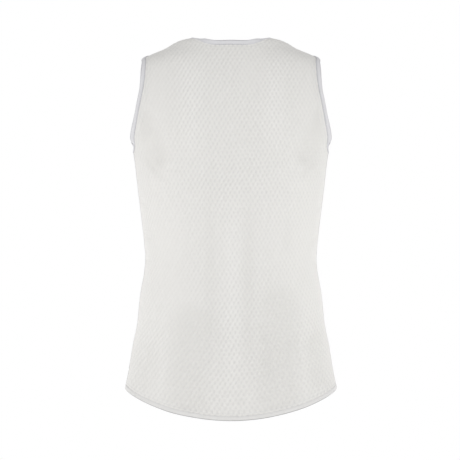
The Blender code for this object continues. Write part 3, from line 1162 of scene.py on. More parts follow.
    def build(self, name: str, finish: Material) -> Object:
        """Builds the panel.

        Args:
            name: The piece's name.
            finish: The cloth's material.

        Returns:
            The panel as one closed shell.
        """
        outer, inner = self.layer(self.knit_spots()), self.layer(self.plain_spots())
        shells, fields = [], []
        for layer, depth in ((outer, 0.0), (inner, self.wall)):
            form_points = self.form.point(layer.pairs[:, 0], layer.pairs[:, 1])
            outward = self.form.outward(layer.pairs[:, 0], layer.pairs[:, 1])
            carried = self.fields(layer, form_points)
            nearest = np.minimum(carried.edge, carried.seam)
            rise = carried.crease - depth
            if layer is outer:
                relief = self.weave.rise(carried.weave, layer.place) - self.sunk
                rise = rise + relief * (self.pressed + (1.0 - self.pressed) * smooth(nearest / self.press))
            shells.append(form_points + outward * rise[:, None])
            fields.append(carried)
        count, border = len(outer.pairs), len(self.outline)
        faces = [tuple(face) for face in outer.triangles.tolist()]
        faces += [tuple(face) for face in (inner.triangles[:, ::-1] + count).tolist()]
        turned = self.side is Side.FRONT
        for index in range(border):
            after = (index + 1) % border
            rim = (after, index, index + count, after + count)
            faces.append(rim[::-1] if turned else rim)
        panel = make_object(name, np.concatenate(shells), faces)
        whole = Fields(*(np.concatenate(values) for values in zip(*fields)))
        set_uv(panel.data, "weave", whole.weave)
        for label in ("edge", "crease", "pull", "depth"):
            set_number(panel.data, label, getattr(whole, label))
        panel.data.materials.append(finish)
        return panel


@dataclass
class Edge:
    """A run of places on the cloth's face, with the direction out of the garment at each."""

    places: Array
    outward: Array
    closed: bool

    def along(self) -> Array:
        """The direction of the run at each place.

        Returns:
            A direction of length 1 for each place.
        """
        if self.closed:
            run = np.roll(self.places, -1, axis=0) - np.roll(self.places, 1, axis=0)
        else:
            run = np.gradient(self.places, axis=0)
        return run / np.linalg.norm(run, axis=-1, keepdims=True)

    def lengths(self) -> Array:
        """The distance along the run to each place."""
        return running_length(self.places)


def edge_from(form: Form, pairs: Array, closed: bool) -> Edge:
    """An edge through (angle, height) pairs."""
    return Edge(form.point(pairs[:, 0], pairs[:, 1]), form.outward(pairs[:, 0], pairs[:, 1]), closed)


def joined_edge(form: Form, back: Array, front: Array) -> Edge:
    """A closed edge round a back and a front stretch; their shared ends become one place each.

    Args:
        form: The form.
        back: The back's (angle, height) pairs.
        front: The front's pairs.

    Returns:
        The edge.
    """
    first, second = edge_from(form, back, False), edge_from(form, front, False)
    start = (first.places[:1] + second.places[:1]) / 2.0
    end = (first.places[-1:] + second.places[-1:]) / 2.0
    places = np.concatenate((start, first.places[1:-1], end, second.places[-2:0:-1]))
    start = first.outward[:1] + second.outward[:1]
    end = first.outward[-1:] + second.outward[-1:]
    outward = np.concatenate((start, first.outward[1:-1], end, second.outward[-2:0:-1]))
    return Edge(places, outward / np.linalg.norm(outward, axis=-1, keepdims=True), True)


def mirrored(half: Array) -> Array:
    """A whole run from its right half, which starts in the middle; the left half comes first."""
    left = half[:0:-1] * np.array((-1.0, 1.0))
    return np.concatenate((left, half))


# A folded binding's cross-section: from the stitched side, over the fold, and back underneath.
FOLDED_SECTION = (
    SectionPoint(-0.0016, -0.0003),
    SectionPoint(-0.0015, 0.0003),
    SectionPoint(-0.0010, 0.0006),
    SectionPoint(-0.0003, 0.0005),
    SectionPoint(0.0006, 0.0008),
    SectionPoint(0.0022, 0.0010),
    SectionPoint(0.0040, 0.0009),
    SectionPoint(0.0055, 0.0005),
    SectionPoint(0.0063, 0.0000),
    SectionPoint(0.0066, -0.0006),
    SectionPoint(0.0062, -0.0013),
    SectionPoint(0.0053, -0.0018),
    SectionPoint(0.0030, -0.0021),
    SectionPoint(0.0000, -0.0021),
    SectionPoint(-0.0014, -0.0019),
    SectionPoint(-0.0018, -0.0013),
)

# A flat seam's cross-section, from one side to the other.
SEAM_SECTION = (
    SectionPoint(-0.0027, -0.0006),
    SectionPoint(-0.0024, -0.0001),
    SectionPoint(-0.0014, 0.0001),
    SectionPoint(0.0000, 0.0000),
    SectionPoint(0.0014, 0.0001),
    SectionPoint(0.0024, -0.0001),
    SectionPoint(0.0027, -0.0006),
    SectionPoint(0.0024, -0.0015),
    SectionPoint(0.0000, -0.0017),
    SectionPoint(-0.0024, -0.0015),
)


def no_flare(height: Array) -> Array:
    """A binding that carries the cloth straight on."""
    return np.zeros_like(height)


def neck_lean(height: Array) -> Array:
    """How far the neck's binding leans out of the garment.

    Args:
        height: Heights along the cut edge.

    Returns:
        The angles, which are below 0 where the binding leans in.
    """
    rise = smooth((height - BACK_NECK_HEIGHT) / (SHOULDER_TOP - BACK_NECK_HEIGHT))
    start = smooth((height - LEAN_STARTS) / (BACK_NECK_HEIGHT - LEAN_STARTS))
    return (BACK_LEAN + (SHOULDER_LEAN - BACK_LEAN) * rise) * start


def bump(offset: Array) -> Array:
    """A rounded bump, 1 at offset 0 and nothing from offset 1 on."""
    return 0.5 + 0.5 * np.cos(math.pi * np.minimum(np.abs(offset), 1.0))


def armhole_flare(height: Array) -> Array:
    """How far an armhole's binding leans out of the garment.

    Args:
        height: Heights along the cut edge.

    Returns:
        The angles, which are below 0 where the binding leans in.
    """
    reach = np.where(height > FLARE_HEIGHT, FLARE_REACH_UP, FLARE_REACH_DOWN)
    underarm = UNDERARM_FLARE * bump((height - FLARE_HEIGHT) / reach)
    shoulder = SHOULDER_FLARE * bump((height - SHOULDER_FLARE_HEIGHT) / SHOULDER_FLARE_REACH)
    return underarm + shoulder - TUCK * smooth((TUCK_STARTS - height) / TUCK_REACH)


def all_dark(points: Array) -> Array:
    """Painted shade lines at full strength all along a strip."""
    return np.ones(len(points))


def dark_behind(points: Array) -> Array:
    """The neck's painted shade lines, which are faint over the shoulders.

    Args:
        points: Places along the strip.

    Returns:
        How strong the painted shade lines are, up to 1.
    """
    low = smooth((SHOULDER_FAINT - points[:, 2]) / SHOULDER_FADE)
    middle = smooth((NECK_DARK_HALF - np.abs(points[:, 0])) / NECK_DARK_FADE)
    return FAINTEST + (1.0 - FAINTEST) * np.maximum(low, middle)


def dark_underarm(points: Array) -> Array:
    """Painted shade lines that fade out below the underarm, as on a side seam."""
    return smooth((points[:, 2] - SEAM_FADES) / (ARMHOLE[0].height - SEAM_FADES))


@dataclass
class Strip:
    """A narrow strip of cloth along an edge: a folded binding, or a flat seam."""

    edge: Edge
    toward: Array
    section: tuple[SectionPoint, ...]
    width_share: float = 1.0
    flare: Callable[[Array], Array] = no_flare
    # How strong the strip's painted shade lines are along it.
    darkness: Callable[[Array], Array] = all_dark
    pucker: float = 0.00010
    pucker_pitch: float = 0.0052

    def directions(self, past: float) -> tuple[Array, Array]:
        """The strip's own directions at each place of the edge.

        Args:
            past: The distance past the cut edge; the strip leans only beyond it.

        Returns:
            The direction across the strip, away from the cloth, and the one out of its face.
        """
        across = np.cross(self.edge.along(), self.edge.outward)
        across = across / np.linalg.norm(across, axis=-1, keepdims=True)
        facing = np.sum(across * (self.toward - self.edge.places), axis=-1, keepdims=True)
        across = np.where(facing < 0.0, -across, across)
        if past <= 0.0:
            return across, self.edge.outward
        lean = self.flare(self.edge.places[:, 2])[:, None]
        return (across * np.cos(lean) + self.edge.outward * np.sin(lean),
                self.edge.outward * np.cos(lean) - across * np.sin(lean))

    def line(self, past: float, out: float) -> Edge:
        """A run along the strip, at a distance past the cut edge and out from the face."""
        across, outward = self.directions(past)
        return Edge(self.edge.places + across * past + outward * out, outward, self.edge.closed)

    def build(self, name: str, finish: Material) -> Object:
        """Builds the strip.

        Args:
            name: The piece's name.
            finish: The strip's material.

        Returns:
            The strip as one closed tube of its cross-section.
        """
        count, points = len(self.edge.places), len(self.section)
        lengths = self.edge.lengths()
        wave = self.pucker * np.cos(2.0 * math.pi * lengths / self.pucker_pitch)
        rings, strip = [], []
        for spot in self.section:
            past = spot.past * (self.width_share if spot.past > 0.0 else 1.0)
            lift = spot.out + (wave if spot.out > 0.0 else 0.0)
            across, out = self.directions(past)
            lifts = np.broadcast_to(lift, (count,))[:, None]
            rings.append(self.edge.places + across * past + out * lifts)
            strip.append(np.stack((lengths, np.full(count, past)), axis=-1))
        steps = count if self.edge.closed else count - 1
        faces = []
        for ring in range(points):
            above = (ring + 1) % points
            for step in range(steps):
                after = (step + 1) % count
                faces.append((ring * count + step, ring * count + after,
                              above * count + after, above * count + step))
        if not self.edge.closed:
            faces.append(tuple(ring * count for ring in range(points)))
            faces.append(tuple(ring * count + count - 1 for ring in reversed(range(points))))
        made = make_object(name, np.concatenate(rings), faces)
        set_uv(made.data, "strip", np.concatenate(strip))
        # Carries how strong the painted shade lines are at each place along the strip.
        set_number(made.data, "darkness", np.tile(self.darkness(self.edge.places), points))
        turn_outwards(made)
        made.data.materials.append(finish)
        return made


def turn_outwards(piece: Object) -> None:
    """Makes a closed mesh's faces point outwards, by the sign of its volume.

    Args:
        piece: The mesh object.
    """
    mesh = piece.data
    mesh.calc_loop_triangles()
    corners = np.zeros(len(mesh.loop_triangles) * 3, dtype=np.int32)
    mesh.loop_triangles.foreach_get("vertices", corners)
    points = np.zeros(len(mesh.vertices) * 3)
    mesh.vertices.foreach_get("co", points)
    points = points.reshape(-1, 3)
    first, second, third = (points[corners.reshape(-1, 3)[:, index]] for index in range(3))
    if float(np.sum(first * np.cross(second, third))) < 0.0:
        mesh.flip_normals()


# Where a Mix node for colours keeps its share, its two colours and its result.
MIX_SHARE, MIX_FIRST, MIX_SECOND, MIX_COLOUR = 0, 6, 7, 2


class Wiring:
    """Adds nodes to one node tree and joins them."""

    def __init__(self, tree: NodeTree) -> None:
        """Starts wiring a tree."""
        self.tree = tree

    def add(self, kind: str, **settings: object) -> Node:
        """Adds a node of a kind, with its settings.

        Args:
            kind: The node's type.
            settings: Its settings.

        Returns:
            The node.
        """
        node = self.tree.nodes.new(kind)
        for name, value in settings.items():
            setattr(node, name, value)
        return node

    def feed(self, socket: Socket, source: object) -> None:
        """Joins a socket to a source socket, or sets it to a plain value.

        Args:
            socket: The socket.
            source: A source socket or a value.
        """
        if isinstance(source, Socket):
            self.tree.links.new(source, socket)
        else:
            socket.default_value = source

    def fed(self, kind: str, inputs: dict[str | int, object], **settings: object) -> Node:
        """Adds a node and feeds its inputs.

        Args:
            kind: The node's type.
            inputs: A source socket or a value for each input, by its name or number.
            settings: The node's settings.

        Returns:
            The node.
        """
        node = self.add(kind, **settings)
        for key, source in inputs.items():
            self.feed(node.inputs[key], source)
        return node

    def math(self, operation: str, *values: object) -> Socket:
        """The result of one sum on numbers.

        Args:
            operation: The sum's name.
            values: Its numbers.

        Returns:
            The result.
        """
        return self.fed("ShaderNodeMath", dict(enumerate(values)), operation=operation).outputs[0]

    def times(self, first: object, second: object) -> Socket:
        """The product of two numbers."""
        return self.math("MULTIPLY", first, second)

    def plus(self, first: object, second: object) -> Socket:
        """The sum of two numbers."""
        return self.math("ADD", first, second)

    def minus(self, first: object, second: object) -> Socket:
        """The first number less the second."""
        return self.math("SUBTRACT", first, second)

    def turns(self, operation: str, count: object) -> Socket:
        """The sine or cosine of a number of whole turns."""
        return self.math(operation, self.times(count, 2.0 * math.pi))

    def number(self, label: str) -> Socket:
        """The number that a mesh carries under a label."""
        return self.add("ShaderNodeAttribute", attribute_name=label).outputs["Fac"]

    def map_parts(self, label: str) -> tuple[Socket, Socket]:
        """A UV map's two values.

        Args:
            label: The map's name.

        Returns:
            The value along the first direction, and along the second.
        """
        place = self.add("ShaderNodeUVMap", uv_map=label).outputs[0]
        parts = self.fed("ShaderNodeSeparateXYZ", {0: place})
        return parts.outputs[0], parts.outputs[1]

    def spread(self, value: object, low: float, high: float, to_low: object = 0.0,
               to_high: object = 1.0) -> Socket:
        """A value moved smoothly from one range to another, and kept within it.

        Args:
            value: The value.
            low: Where its range starts.
            high: Where it ends.
            to_low: What low becomes.
            to_high: What high becomes.

        Returns:
            The moved value.
        """
        ranges = {"Value": value, "From Min": low, "From Max": high, "To Min": to_low, "To Max": to_high}
        return self.fed("ShaderNodeMapRange", ranges, interpolation_type="SMOOTHSTEP").outputs["Result"]

    def mix(self, share: object, first: object, second: object) -> Socket:
        """A colour between two colours.

        Args:
            share: The second colour's share.
            first: The first colour.
            second: The second colour.

        Returns:
            The mixed colour.
        """
        inputs = {MIX_SHARE: share, MIX_FIRST: first, MIX_SECOND: second}
        return self.fed("ShaderNodeMix", inputs, data_type="RGBA").outputs[MIX_COLOUR]

    def noise(self, vector: object, scale: float, detail: float) -> Socket:
        """A soft random value in space.

        Args:
            vector: Where to read it.
            scale: How fine it is.
            detail: How many finer layers it has.

        Returns:
            The value, from 0 to 1.
        """
        inputs = {"Vector": vector, "Scale": scale, "Detail": detail}
        return self.fed("ShaderNodeTexNoise", inputs).outputs["Fac"]

    def group(self, group: NodeTree, **values: object) -> Node:
        """Places a node group; an input's name has its spaces as underscores here.

        Args:
            group: The group.
            values: Its inputs.

        Returns:
            The placed node.
        """
        inputs = {name.replace("_", " "): value for name, value in values.items()}
        return self.fed("ShaderNodeGroup", inputs, node_tree=group)


Started = tuple[Wiring, Node, Node]


def new_group(name: str, inputs: dict[str, str], outputs: dict[str, str]) -> Started:
    """Starts a shader node group.

    Args:
        name: The group's name.
        inputs: Each input's name and socket type.
        outputs: Each output's name and socket type.

    Returns:
        The group's wiring, its input node and its output node.
    """
    tree = bpy.data.node_groups.new(name, "ShaderNodeTree")
    for label, kind in inputs.items():
        tree.interface.new_socket(label, in_out="INPUT", socket_type=kind)
    for label, kind in outputs.items():
        tree.interface.new_socket(label, in_out="OUTPUT", socket_type=kind)
    wiring = Wiring(tree)
    return wiring, wiring.add("NodeGroupInput"), wiring.add("NodeGroupOutput")


def knit_loops_group(slant: float = 0.9) -> NodeTree:
    """The loops of a plain knit: pairs of slanting legs in columns.

    Args:
        slant: How far a leg rises from its column's middle to its side, in loops.

    Returns:
        A group that takes places in loops, across and up, and gives the yarn's height.
    """
    wiring, start, end = new_group(
        "knit_loops", {"Across": "NodeSocketFloat", "Up": "NodeSocketFloat"}, {"Height": "NodeSocketFloat"})
    column = wiring.minus(wiring.math("FRACT", start.outputs["Across"]), 0.5)
    leg = wiring.math("ABSOLUTE", wiring.turns("SINE", column))
    row = wiring.plus(start.outputs["Up"], wiring.times(wiring.math("ABSOLUTE", column), slant))
    swell = wiring.plus(wiring.times(wiring.turns("COSINE", row), 0.5), 0.5)
    wiring.feed(end.inputs["Height"], wiring.times(leg, swell))
    return wiring.tree


@dataclass(frozen=True)
class ClothTone:
    """Slow and fine changes of tone over cloth."""

    patch_scale: float = 9.0
    patch_range: tuple[float, float] = (0.32, 0.70)
    patch_share: float = 0.65
    speck_scale: float = 700.0
    speck_range: tuple[float, float] = (0.30, 0.70)
    detail: float = 2.0

    def make(self) -> NodeTree:
        """Builds the node group.

        Returns:
            A group that takes a place, a colour, a worn colour and how strong it is, and gives a
            colour and a fibre value for roughness.
        """
        wiring, start, end = new_group(
            "cloth_tone",
            {"Place": "NodeSocketVector", "Colour": "NodeSocketColor", "Worn Colour": "NodeSocketColor",
             "Strength": "NodeSocketFloat"},
            {"Colour": "NodeSocketColor", "Fibre": "NodeSocketFloat"})
        place = start.outputs["Place"]
        patch = wiring.spread(wiring.noise(place, self.patch_scale, self.detail), *self.patch_range)
        speck = wiring.spread(wiring.noise(place, self.speck_scale, self.detail), *self.speck_range)
        patch = wiring.times(patch, self.patch_share)
        share = wiring.plus(patch, wiring.times(speck, 1.0 - self.patch_share))
        share = wiring.times(share, start.outputs["Strength"])
        colour = wiring.mix(share, start.outputs["Colour"], start.outputs["Worn Colour"])
        wiring.feed(end.inputs["Colour"], colour)
        wiring.feed(end.inputs["Fibre"], speck)
        return wiring.tree


@dataclass(frozen=True)
class Surface:
    """How a finish takes the light, and how deep its finest relief is."""

    roughness: float
    smoother: float
    rougher: float
    bump: float
    bump_depth: float
    sheen: float = 0.0
    sheen_roughness: float = 0.5
    gloss: float = 0.5

    def dress(self, wiring: Wiring, colour: object, fibre: object, height: object) -> None:
        """Feeds a material's surface shader.

        Args:
            wiring: The material's wiring.
            colour: The surface's colour.
            fibre: A value that varies the roughness.
            height: The finest relief.
        """
        shader = wiring.tree.nodes["Principled BSDF"]
        bump = wiring.fed("ShaderNodeBump", {
            "Height": height, "Strength": self.bump, "Distance": self.bump_depth})
        low, high = self.roughness - self.smoother, self.roughness + self.rougher
        rough = wiring.spread(fibre, 0.0, 1.0, low, high)
        for name, source in (
                ("Base Color", colour), ("Roughness", rough), ("Normal", bump.outputs[0]),
                ("Sheen Weight", self.sheen), ("Sheen Roughness", self.sheen_roughness),
                ("Specular IOR Level", self.gloss)):
            wiring.feed(shader.inputs[name], source)


def new_material(name: str) -> tuple[Material, Wiring]:
    """Starts a material.

    Args:
        name: The material's name.

    Returns:
        The material and its wiring.
    """
    made = bpy.data.materials.new(name)
    made.use_nodes = True
    return made, Wiring(made.node_tree)


def toned_colour(wiring: Wiring, tone: NodeTree, colour: Colour, worn: Colour,
                 strength: float) -> Node:
    """Places the cloth tone group on an object's own coordinates.

    Args:
        wiring: The material's wiring.
        tone: The cloth tone group.
        colour: The cloth's colour.
        worn: Its colour where it is worn.
        strength: How strongly the worn colour shows.

    Returns:
        The placed group, which puts out the colour and the fibre value.
    """
    place = wiring.add("ShaderNodeTexCoord").outputs["Object"]
    return wiring.group(tone, Place=place, Colour=colour, Worn_Colour=worn, Strength=strength)


class Line(NamedTuple):
    """A line along the bound edges: how far in it lies, half its width, and its strength."""

    middle: float
    half: float
    share: float


@dataclass(frozen=True)
class MeshCloth:
    """The white diamond mesh: strands, sunken eyelets, fine loops and stitched furrows, with painted shade in
    the eyelets, crease troughs and furrows.
    """

    name: str = "diamond_mesh_cloth"
    strand: Colour = (0.825, 0.815, 0.795, 1.0)
    # Painted shade colour for the sunken eyelets.
    eyelet: Colour = (0.715, 0.706, 0.690, 1.0)
    worn: Colour = (0.800, 0.792, 0.768, 1.0)
    # Painted shade colour for the crease troughs.
    trough: Colour = (0.740, 0.730, 0.706, 1.0)
    # Partly the stitch row's and seam allowance's own tone, partly painted shade in their sunken furrows.
    furrow: Colour = (0.660, 0.660, 0.655, 1.0)
    crease_shade_reach: float = 0.0030
    eyelet_shade_range: tuple[float, float] = (0.30, -1.10)
    eyelet_shade_share: float = 0.8
    tone: float = 0.55
    stitched: Line = Line(0.0052, 0.0009, 0.45)
    allowance: Line = Line(0.0104, 0.0012, 0.20)
    loops_across: float = 6.0
    loops_up: float = 10.0
    level_height: float = 0.35
    loop_height: float = 0.22
    line_sink: float = 0.8
    surface: Surface = Surface(0.88, 0.06, 0.08, 0.55, 0.0007, sheen=0.18, sheen_roughness=0.45, gloss=0.25)

    def make(self, loops: NodeTree, tone: NodeTree) -> Material:
        """Builds the material.

        Args:
            loops: The knit loops group.
            tone: The cloth tone group.

        Returns:
            The finished material.
        """
        made, wiring = new_material(self.name)
        column, row = wiring.map_parts("weave")
        level = self.level(wiring, column, row)
        fine = wiring.group(loops, Across=wiring.times(column, self.loops_across),
                            Up=wiring.times(row, self.loops_up)).outputs[0]
        toned = toned_colour(wiring, tone, self.strand, self.worn, self.tone)
        # Painted shade from the crease rise: darker in the troughs, lighter on the ridges.
        sunk = wiring.spread(wiring.number("crease"), self.crease_shade_reach, -self.crease_shade_reach)
        colour = wiring.mix(sunk, toned.outputs[0], self.trough)
        # Painted shade darkens the eyelets where the knit's level sinks.
        eyelet_shade_mask = wiring.times(wiring.spread(level, *self.eyelet_shade_range), self.eyelet_shade_share)
        colour = wiring.mix(eyelet_shade_mask, colour, self.eyelet)
        # Lines along the bound edges: the stitch row and seam allowance, darkened partly by their own tone
        # and partly as painted shade.
        lined = wiring.plus(self.mask(wiring, self.stitched), self.mask(wiring, self.allowance))
        colour = wiring.mix(lined, colour, self.furrow)
        height = wiring.plus(wiring.times(level, self.level_height), wiring.times(fine, self.loop_height))
        height = wiring.minus(height, wiring.times(lined, self.line_sink))
        self.surface.dress(wiring, colour, toned.outputs[1], height)
        return made

    def level(self, wiring: Wiring, column: object, row: object) -> Socket:
        """How far the strands stand out, in step with the mesh's own relief.

        Args:
            wiring: The material's wiring.
            column: The place across, in cells.
            row: The place up, in cells.

        Returns:
            The level, from about -1 in an eyelet to 1 where strands cross.
        """
        pull, depth = wiring.number("pull"), wiring.number("depth")
        first = wiring.times(wiring.turns("COSINE", wiring.plus(column, row)), wiring.plus(pull, 1.0))
        second = wiring.times(wiring.turns("COSINE", wiring.minus(column, row)), wiring.minus(1.0, pull))
        return wiring.times(wiring.plus(first, second), wiring.times(depth, 0.5))

    def mask(self, wiring: Wiring, line: Line) -> Socket:
        """A mask for a line along the bound edges.

        Args:
            wiring: The material's wiring.
            line: The line.

        Returns:
            The line's strength on it, and 0 off it.
        """
        offset = wiring.math("ABSOLUTE", wiring.minus(wiring.number("edge"), line.middle))
        return wiring.times(wiring.spread(offset, line.half, 0.0), line.share)


@dataclass(frozen=True)
class RibStrip:
    """The smooth, finely ribbed cloth of the bindings and flat seams, with painted shade lines at the folded
    edge and along the stitched edge.
    """

    name: str = "binding_strip_cloth"
    face: Colour = (0.735, 0.732, 0.752, 1.0)
    worn: Colour = (0.700, 0.697, 0.716, 1.0)
    # Painted shade colour for the dark lines at the folded and stitched edges.
    edge: Colour = (0.430, 0.425, 0.450, 1.0)
    tone: float = 0.6
    sewn_shade: float = 0.55
    sewn_shade_range: tuple[float, float] = (0.0008, -0.0006)
    rib_pitch: float = 0.0011
    row_share: float = 0.8
    fold_at: float = 0.0050
    fold_reach: float = 0.0010
    surface: Surface = Surface(0.72, 0.08, 0.08, 0.5, 0.0003, sheen=0.12, gloss=0.3)

    def make(self, loops: NodeTree, tone: NodeTree) -> Material:
        """Builds the material.

        Args:
            loops: The knit loops group.
            tone: The cloth tone group.

        Returns:
            The finished material.
        """
        made, wiring = new_material(self.name)
        along, past = wiring.map_parts("strip")
        fine = wiring.group(loops, Across=wiring.math("DIVIDE", along, self.rib_pitch),
                            Up=wiring.math("DIVIDE", past, self.rib_pitch * self.row_share)).outputs[0]
        toned = toned_colour(wiring, tone, self.face, self.worn, self.tone)
        # Dark lines of painted shade at the folded edge, and along the stitched edge, where they also stand
        # for the stitch line.
        folded = wiring.spread(past, self.fold_at, self.fold_at + self.fold_reach)
        stitched = wiring.times(wiring.spread(past, *self.sewn_shade_range), self.sewn_shade)
        shade = wiring.times(wiring.math("MAXIMUM", folded, stitched), wiring.number("darkness"))
        self.surface.dress(wiring, wiring.mix(shade, toned.outputs[0], self.edge), toned.outputs[1], fine)
        return made


# Each strip's edge colour is painted shade, for its dark lines at the folded and stitched edges.
BINDING_CLOTH = RibStrip()
HEM_CLOTH = RibStrip("hem_strip_cloth", (0.770, 0.762, 0.750, 1.0), (0.735, 0.727, 0.712, 1.0),
                     (0.300, 0.297, 0.295, 1.0), sewn_shade=0.08, fold_at=0.0046)
SEAM_CLOTH = RibStrip("flat_seam_cloth", (0.800, 0.790, 0.772, 1.0), (0.780, 0.772, 0.750, 1.0),
                      (0.400, 0.395, 0.405, 1.0), sewn_shade=0.7, fold_at=0.0010)


@dataclass(frozen=True)
class Thread:
    """Sewing thread: twisted, slightly glossy."""

    name: str = "sewing_thread"
    colour: Colour = (0.780, 0.778, 0.785, 1.0)
    dark: Colour = (0.680, 0.678, 0.690, 1.0)
    tone: float = 0.7
    surface: Surface = Surface(0.55, 0.1, 0.1, 0.3, 0.0001)

    def make(self, tone: NodeTree) -> Material:
        """Builds the material.

        Args:
            tone: The cloth tone group.

        Returns:
            The finished material.
        """
        made, wiring = new_material(self.name)
        toned = toned_colour(wiring, tone, self.colour, self.dark, self.tone)
        self.surface.dress(wiring, toned.outputs[0], toned.outputs[1], toned.outputs[1])
        return made


class ThreadPath(Enum):
    """How a thread lies along its line."""

    RUNNING = "running"
    ZIGZAG = "zigzag"


@dataclass
class Stitching:
    """Stitches along a line on the cloth, made by geometry nodes from named sizes."""

    line: Edge
    path: ThreadPath
    pitch: float = 0.0030
    stitch_length: float = 0.0024
    half_width: float = 0.0019
    thread_radius: float = 0.00028
    bead_sides: int = 6
    bead_rings: int = 4
    thread_sides: int = 5

    def guide(self, name: str) -> Object:
        """The line as a mesh of edges, which carries the direction out of the cloth.

        Args:
            name: The object's name.

        Returns:
            The object.
        """
        count = len(self.line.places)
        mesh = bpy.data.meshes.new(name)
        ends = [(index, index + 1) for index in range(count - 1)]
        if self.line.closed:
            ends.append((count - 1, 0))
        mesh.from_pydata(self.line.places.tolist(), ends, [])
        attribute = mesh.attributes.new("outward", "FLOAT_VECTOR", "POINT")
        attribute.data.foreach_set("vector", self.line.outward.astype(np.float32).ravel())
        made = bpy.data.objects.new(name, mesh)
        bpy.context.scene.collection.objects.link(made)
        return made

    def tree(self) -> NodeTree:
        """The node tree that lays the stitches, with named inputs for their sizes.

        Returns:
            The node tree.
        """
        tree = bpy.data.node_groups.new(f"{self.path.value}_stitches", "GeometryNodeTree")
        tree.interface.new_socket("Geometry", in_out="INPUT", socket_type="NodeSocketGeometry")
        for label in ("Pitch", "Stitch Length", "Half Width", "Thread Radius"):
            tree.interface.new_socket(label, in_out="INPUT", socket_type="NodeSocketFloat")
        tree.interface.new_socket("Finish", in_out="INPUT", socket_type="NodeSocketMaterial")
        tree.interface.new_socket("Geometry", in_out="OUTPUT", socket_type="NodeSocketGeometry")
        wiring = Wiring(tree)
        start, end = wiring.add("NodeGroupInput"), wiring.add("NodeGroupOutput")
        curve = wiring.fed("GeometryNodeMeshToCurve", {"Mesh": start.outputs["Geometry"]})
        spaced = wiring.fed("GeometryNodeResampleCurve", {
            "Curve": curve.outputs["Curve"], "Length": start.outputs["Pitch"]}, mode="LENGTH")
        lay = self.running if self.path is ThreadPath.RUNNING else self.zigzag
        laid = lay(wiring, start, spaced.outputs["Curve"])
        real = wiring.fed("GeometryNodeRealizeInstances", {"Geometry": laid})
        finish = wiring.fed("GeometryNodeSetMaterial", {
            "Geometry": real.outputs["Geometry"], "Material": start.outputs["Finish"]})
        wiring.feed(end.inputs["Geometry"], finish.outputs["Geometry"])
        return tree

    def running(self, wiring: Wiring, start: Node, curve: Socket) -> Socket:
        """Short stitches end to end, each a slim bead of thread.

        Args:
            wiring: The tree's wiring.
            start: The tree's input.
            curve: The line, cut at the pitch.

        Returns:
            The stitches, as instances.
        """
        bead = wiring.fed("GeometryNodeMeshUVSphere", {
            "Segments": self.bead_sides, "Rings": self.bead_rings, "Radius": 1.0})
        radius = start.outputs["Thread Radius"]
        half_length = wiring.times(start.outputs["Stitch Length"], 0.5)
        size = wiring.fed("ShaderNodeCombineXYZ", {0: radius, 1: radius, 2: half_length})
        shaped = wiring.fed("GeometryNodeTransform", {
            "Geometry": bead.outputs["Mesh"], "Scale": size.outputs[0]})
        tangent = wiring.add("GeometryNodeInputTangent").outputs[0]
        turn = wiring.fed("FunctionNodeAlignRotationToVector", {"Vector": tangent}, axis="Z")
        placed = wiring.fed("GeometryNodeInstanceOnPoints", {
            "Points": curve, "Instance": shaped.outputs["Geometry"], "Rotation": turn.outputs[0]})
        return placed.outputs["Instances"]

    def zigzag(self, wiring: Wiring, start: Node, curve: Socket) -> Socket:
        """One thread that crosses the seam from side to side.

        Args:
            wiring: The tree's wiring.
            start: The tree's input.
            curve: The line, cut at the pitch.

        Returns:
            The thread.
        """
        outward = wiring.fed("GeometryNodeInputNamedAttribute", {"Name": "outward"}, data_type="FLOAT_VECTOR")
        tangent = wiring.add("GeometryNodeInputTangent").outputs[0]
        sideways = wiring.fed("ShaderNodeVectorMath", {
            0: tangent, 1: outward.outputs["Attribute"]}, operation="CROSS_PRODUCT")
        even = wiring.math("MODULO", wiring.add("GeometryNodeInputIndex").outputs[0], 2.0)
        swing = wiring.times(wiring.minus(even, 0.5), 2.0)
        reach = wiring.fed("ShaderNodeVectorMath", {
            0: sideways.outputs[0], "Scale": wiring.times(swing, start.outputs["Half Width"])},
            operation="SCALE")
        moved = wiring.fed("GeometryNodeSetPosition", {"Geometry": curve, "Offset": reach.outputs[0]})
        ring = wiring.fed("GeometryNodeCurvePrimitiveCircle", {
            "Resolution": self.thread_sides, "Radius": start.outputs["Thread Radius"]})
        tube = wiring.fed("GeometryNodeCurveToMesh", {
            "Curve": moved.outputs["Geometry"], "Profile Curve": ring.outputs["Curve"], "Fill Caps": True})
        return tube.outputs["Mesh"]

    def build(self, name: str, finish: Material) -> Object:
        """Builds the stitches.

        Args:
            name: The piece's name.
            finish: The thread's material.

        Returns:
            The stitches as a plain mesh.
        """
        made = self.guide(name)
        tree = self.tree()
        modifier = made.modifiers.new("stitches", "NODES")
        modifier.node_group = tree
        sizes = {
            "Pitch": self.pitch, "Stitch Length": self.stitch_length, "Half Width": self.half_width,
            "Thread Radius": self.thread_radius, "Finish": finish,
        }
        for socket in tree.interface.items_tree:
            if socket.in_out == "INPUT" and socket.name in sizes:
                modifier[socket.identifier] = sizes[socket.name]
        seen = made.evaluated_get(bpy.context.evaluated_depsgraph_get())
        mesh = bpy.data.meshes.new_from_object(seen)
        made.modifiers.clear()
        guide = made.data
        made.data = mesh
        mesh.name = name
        bpy.data.meshes.remove(guide)
        bpy.data.node_groups.remove(tree)
        mesh.shade_smooth()
        return made


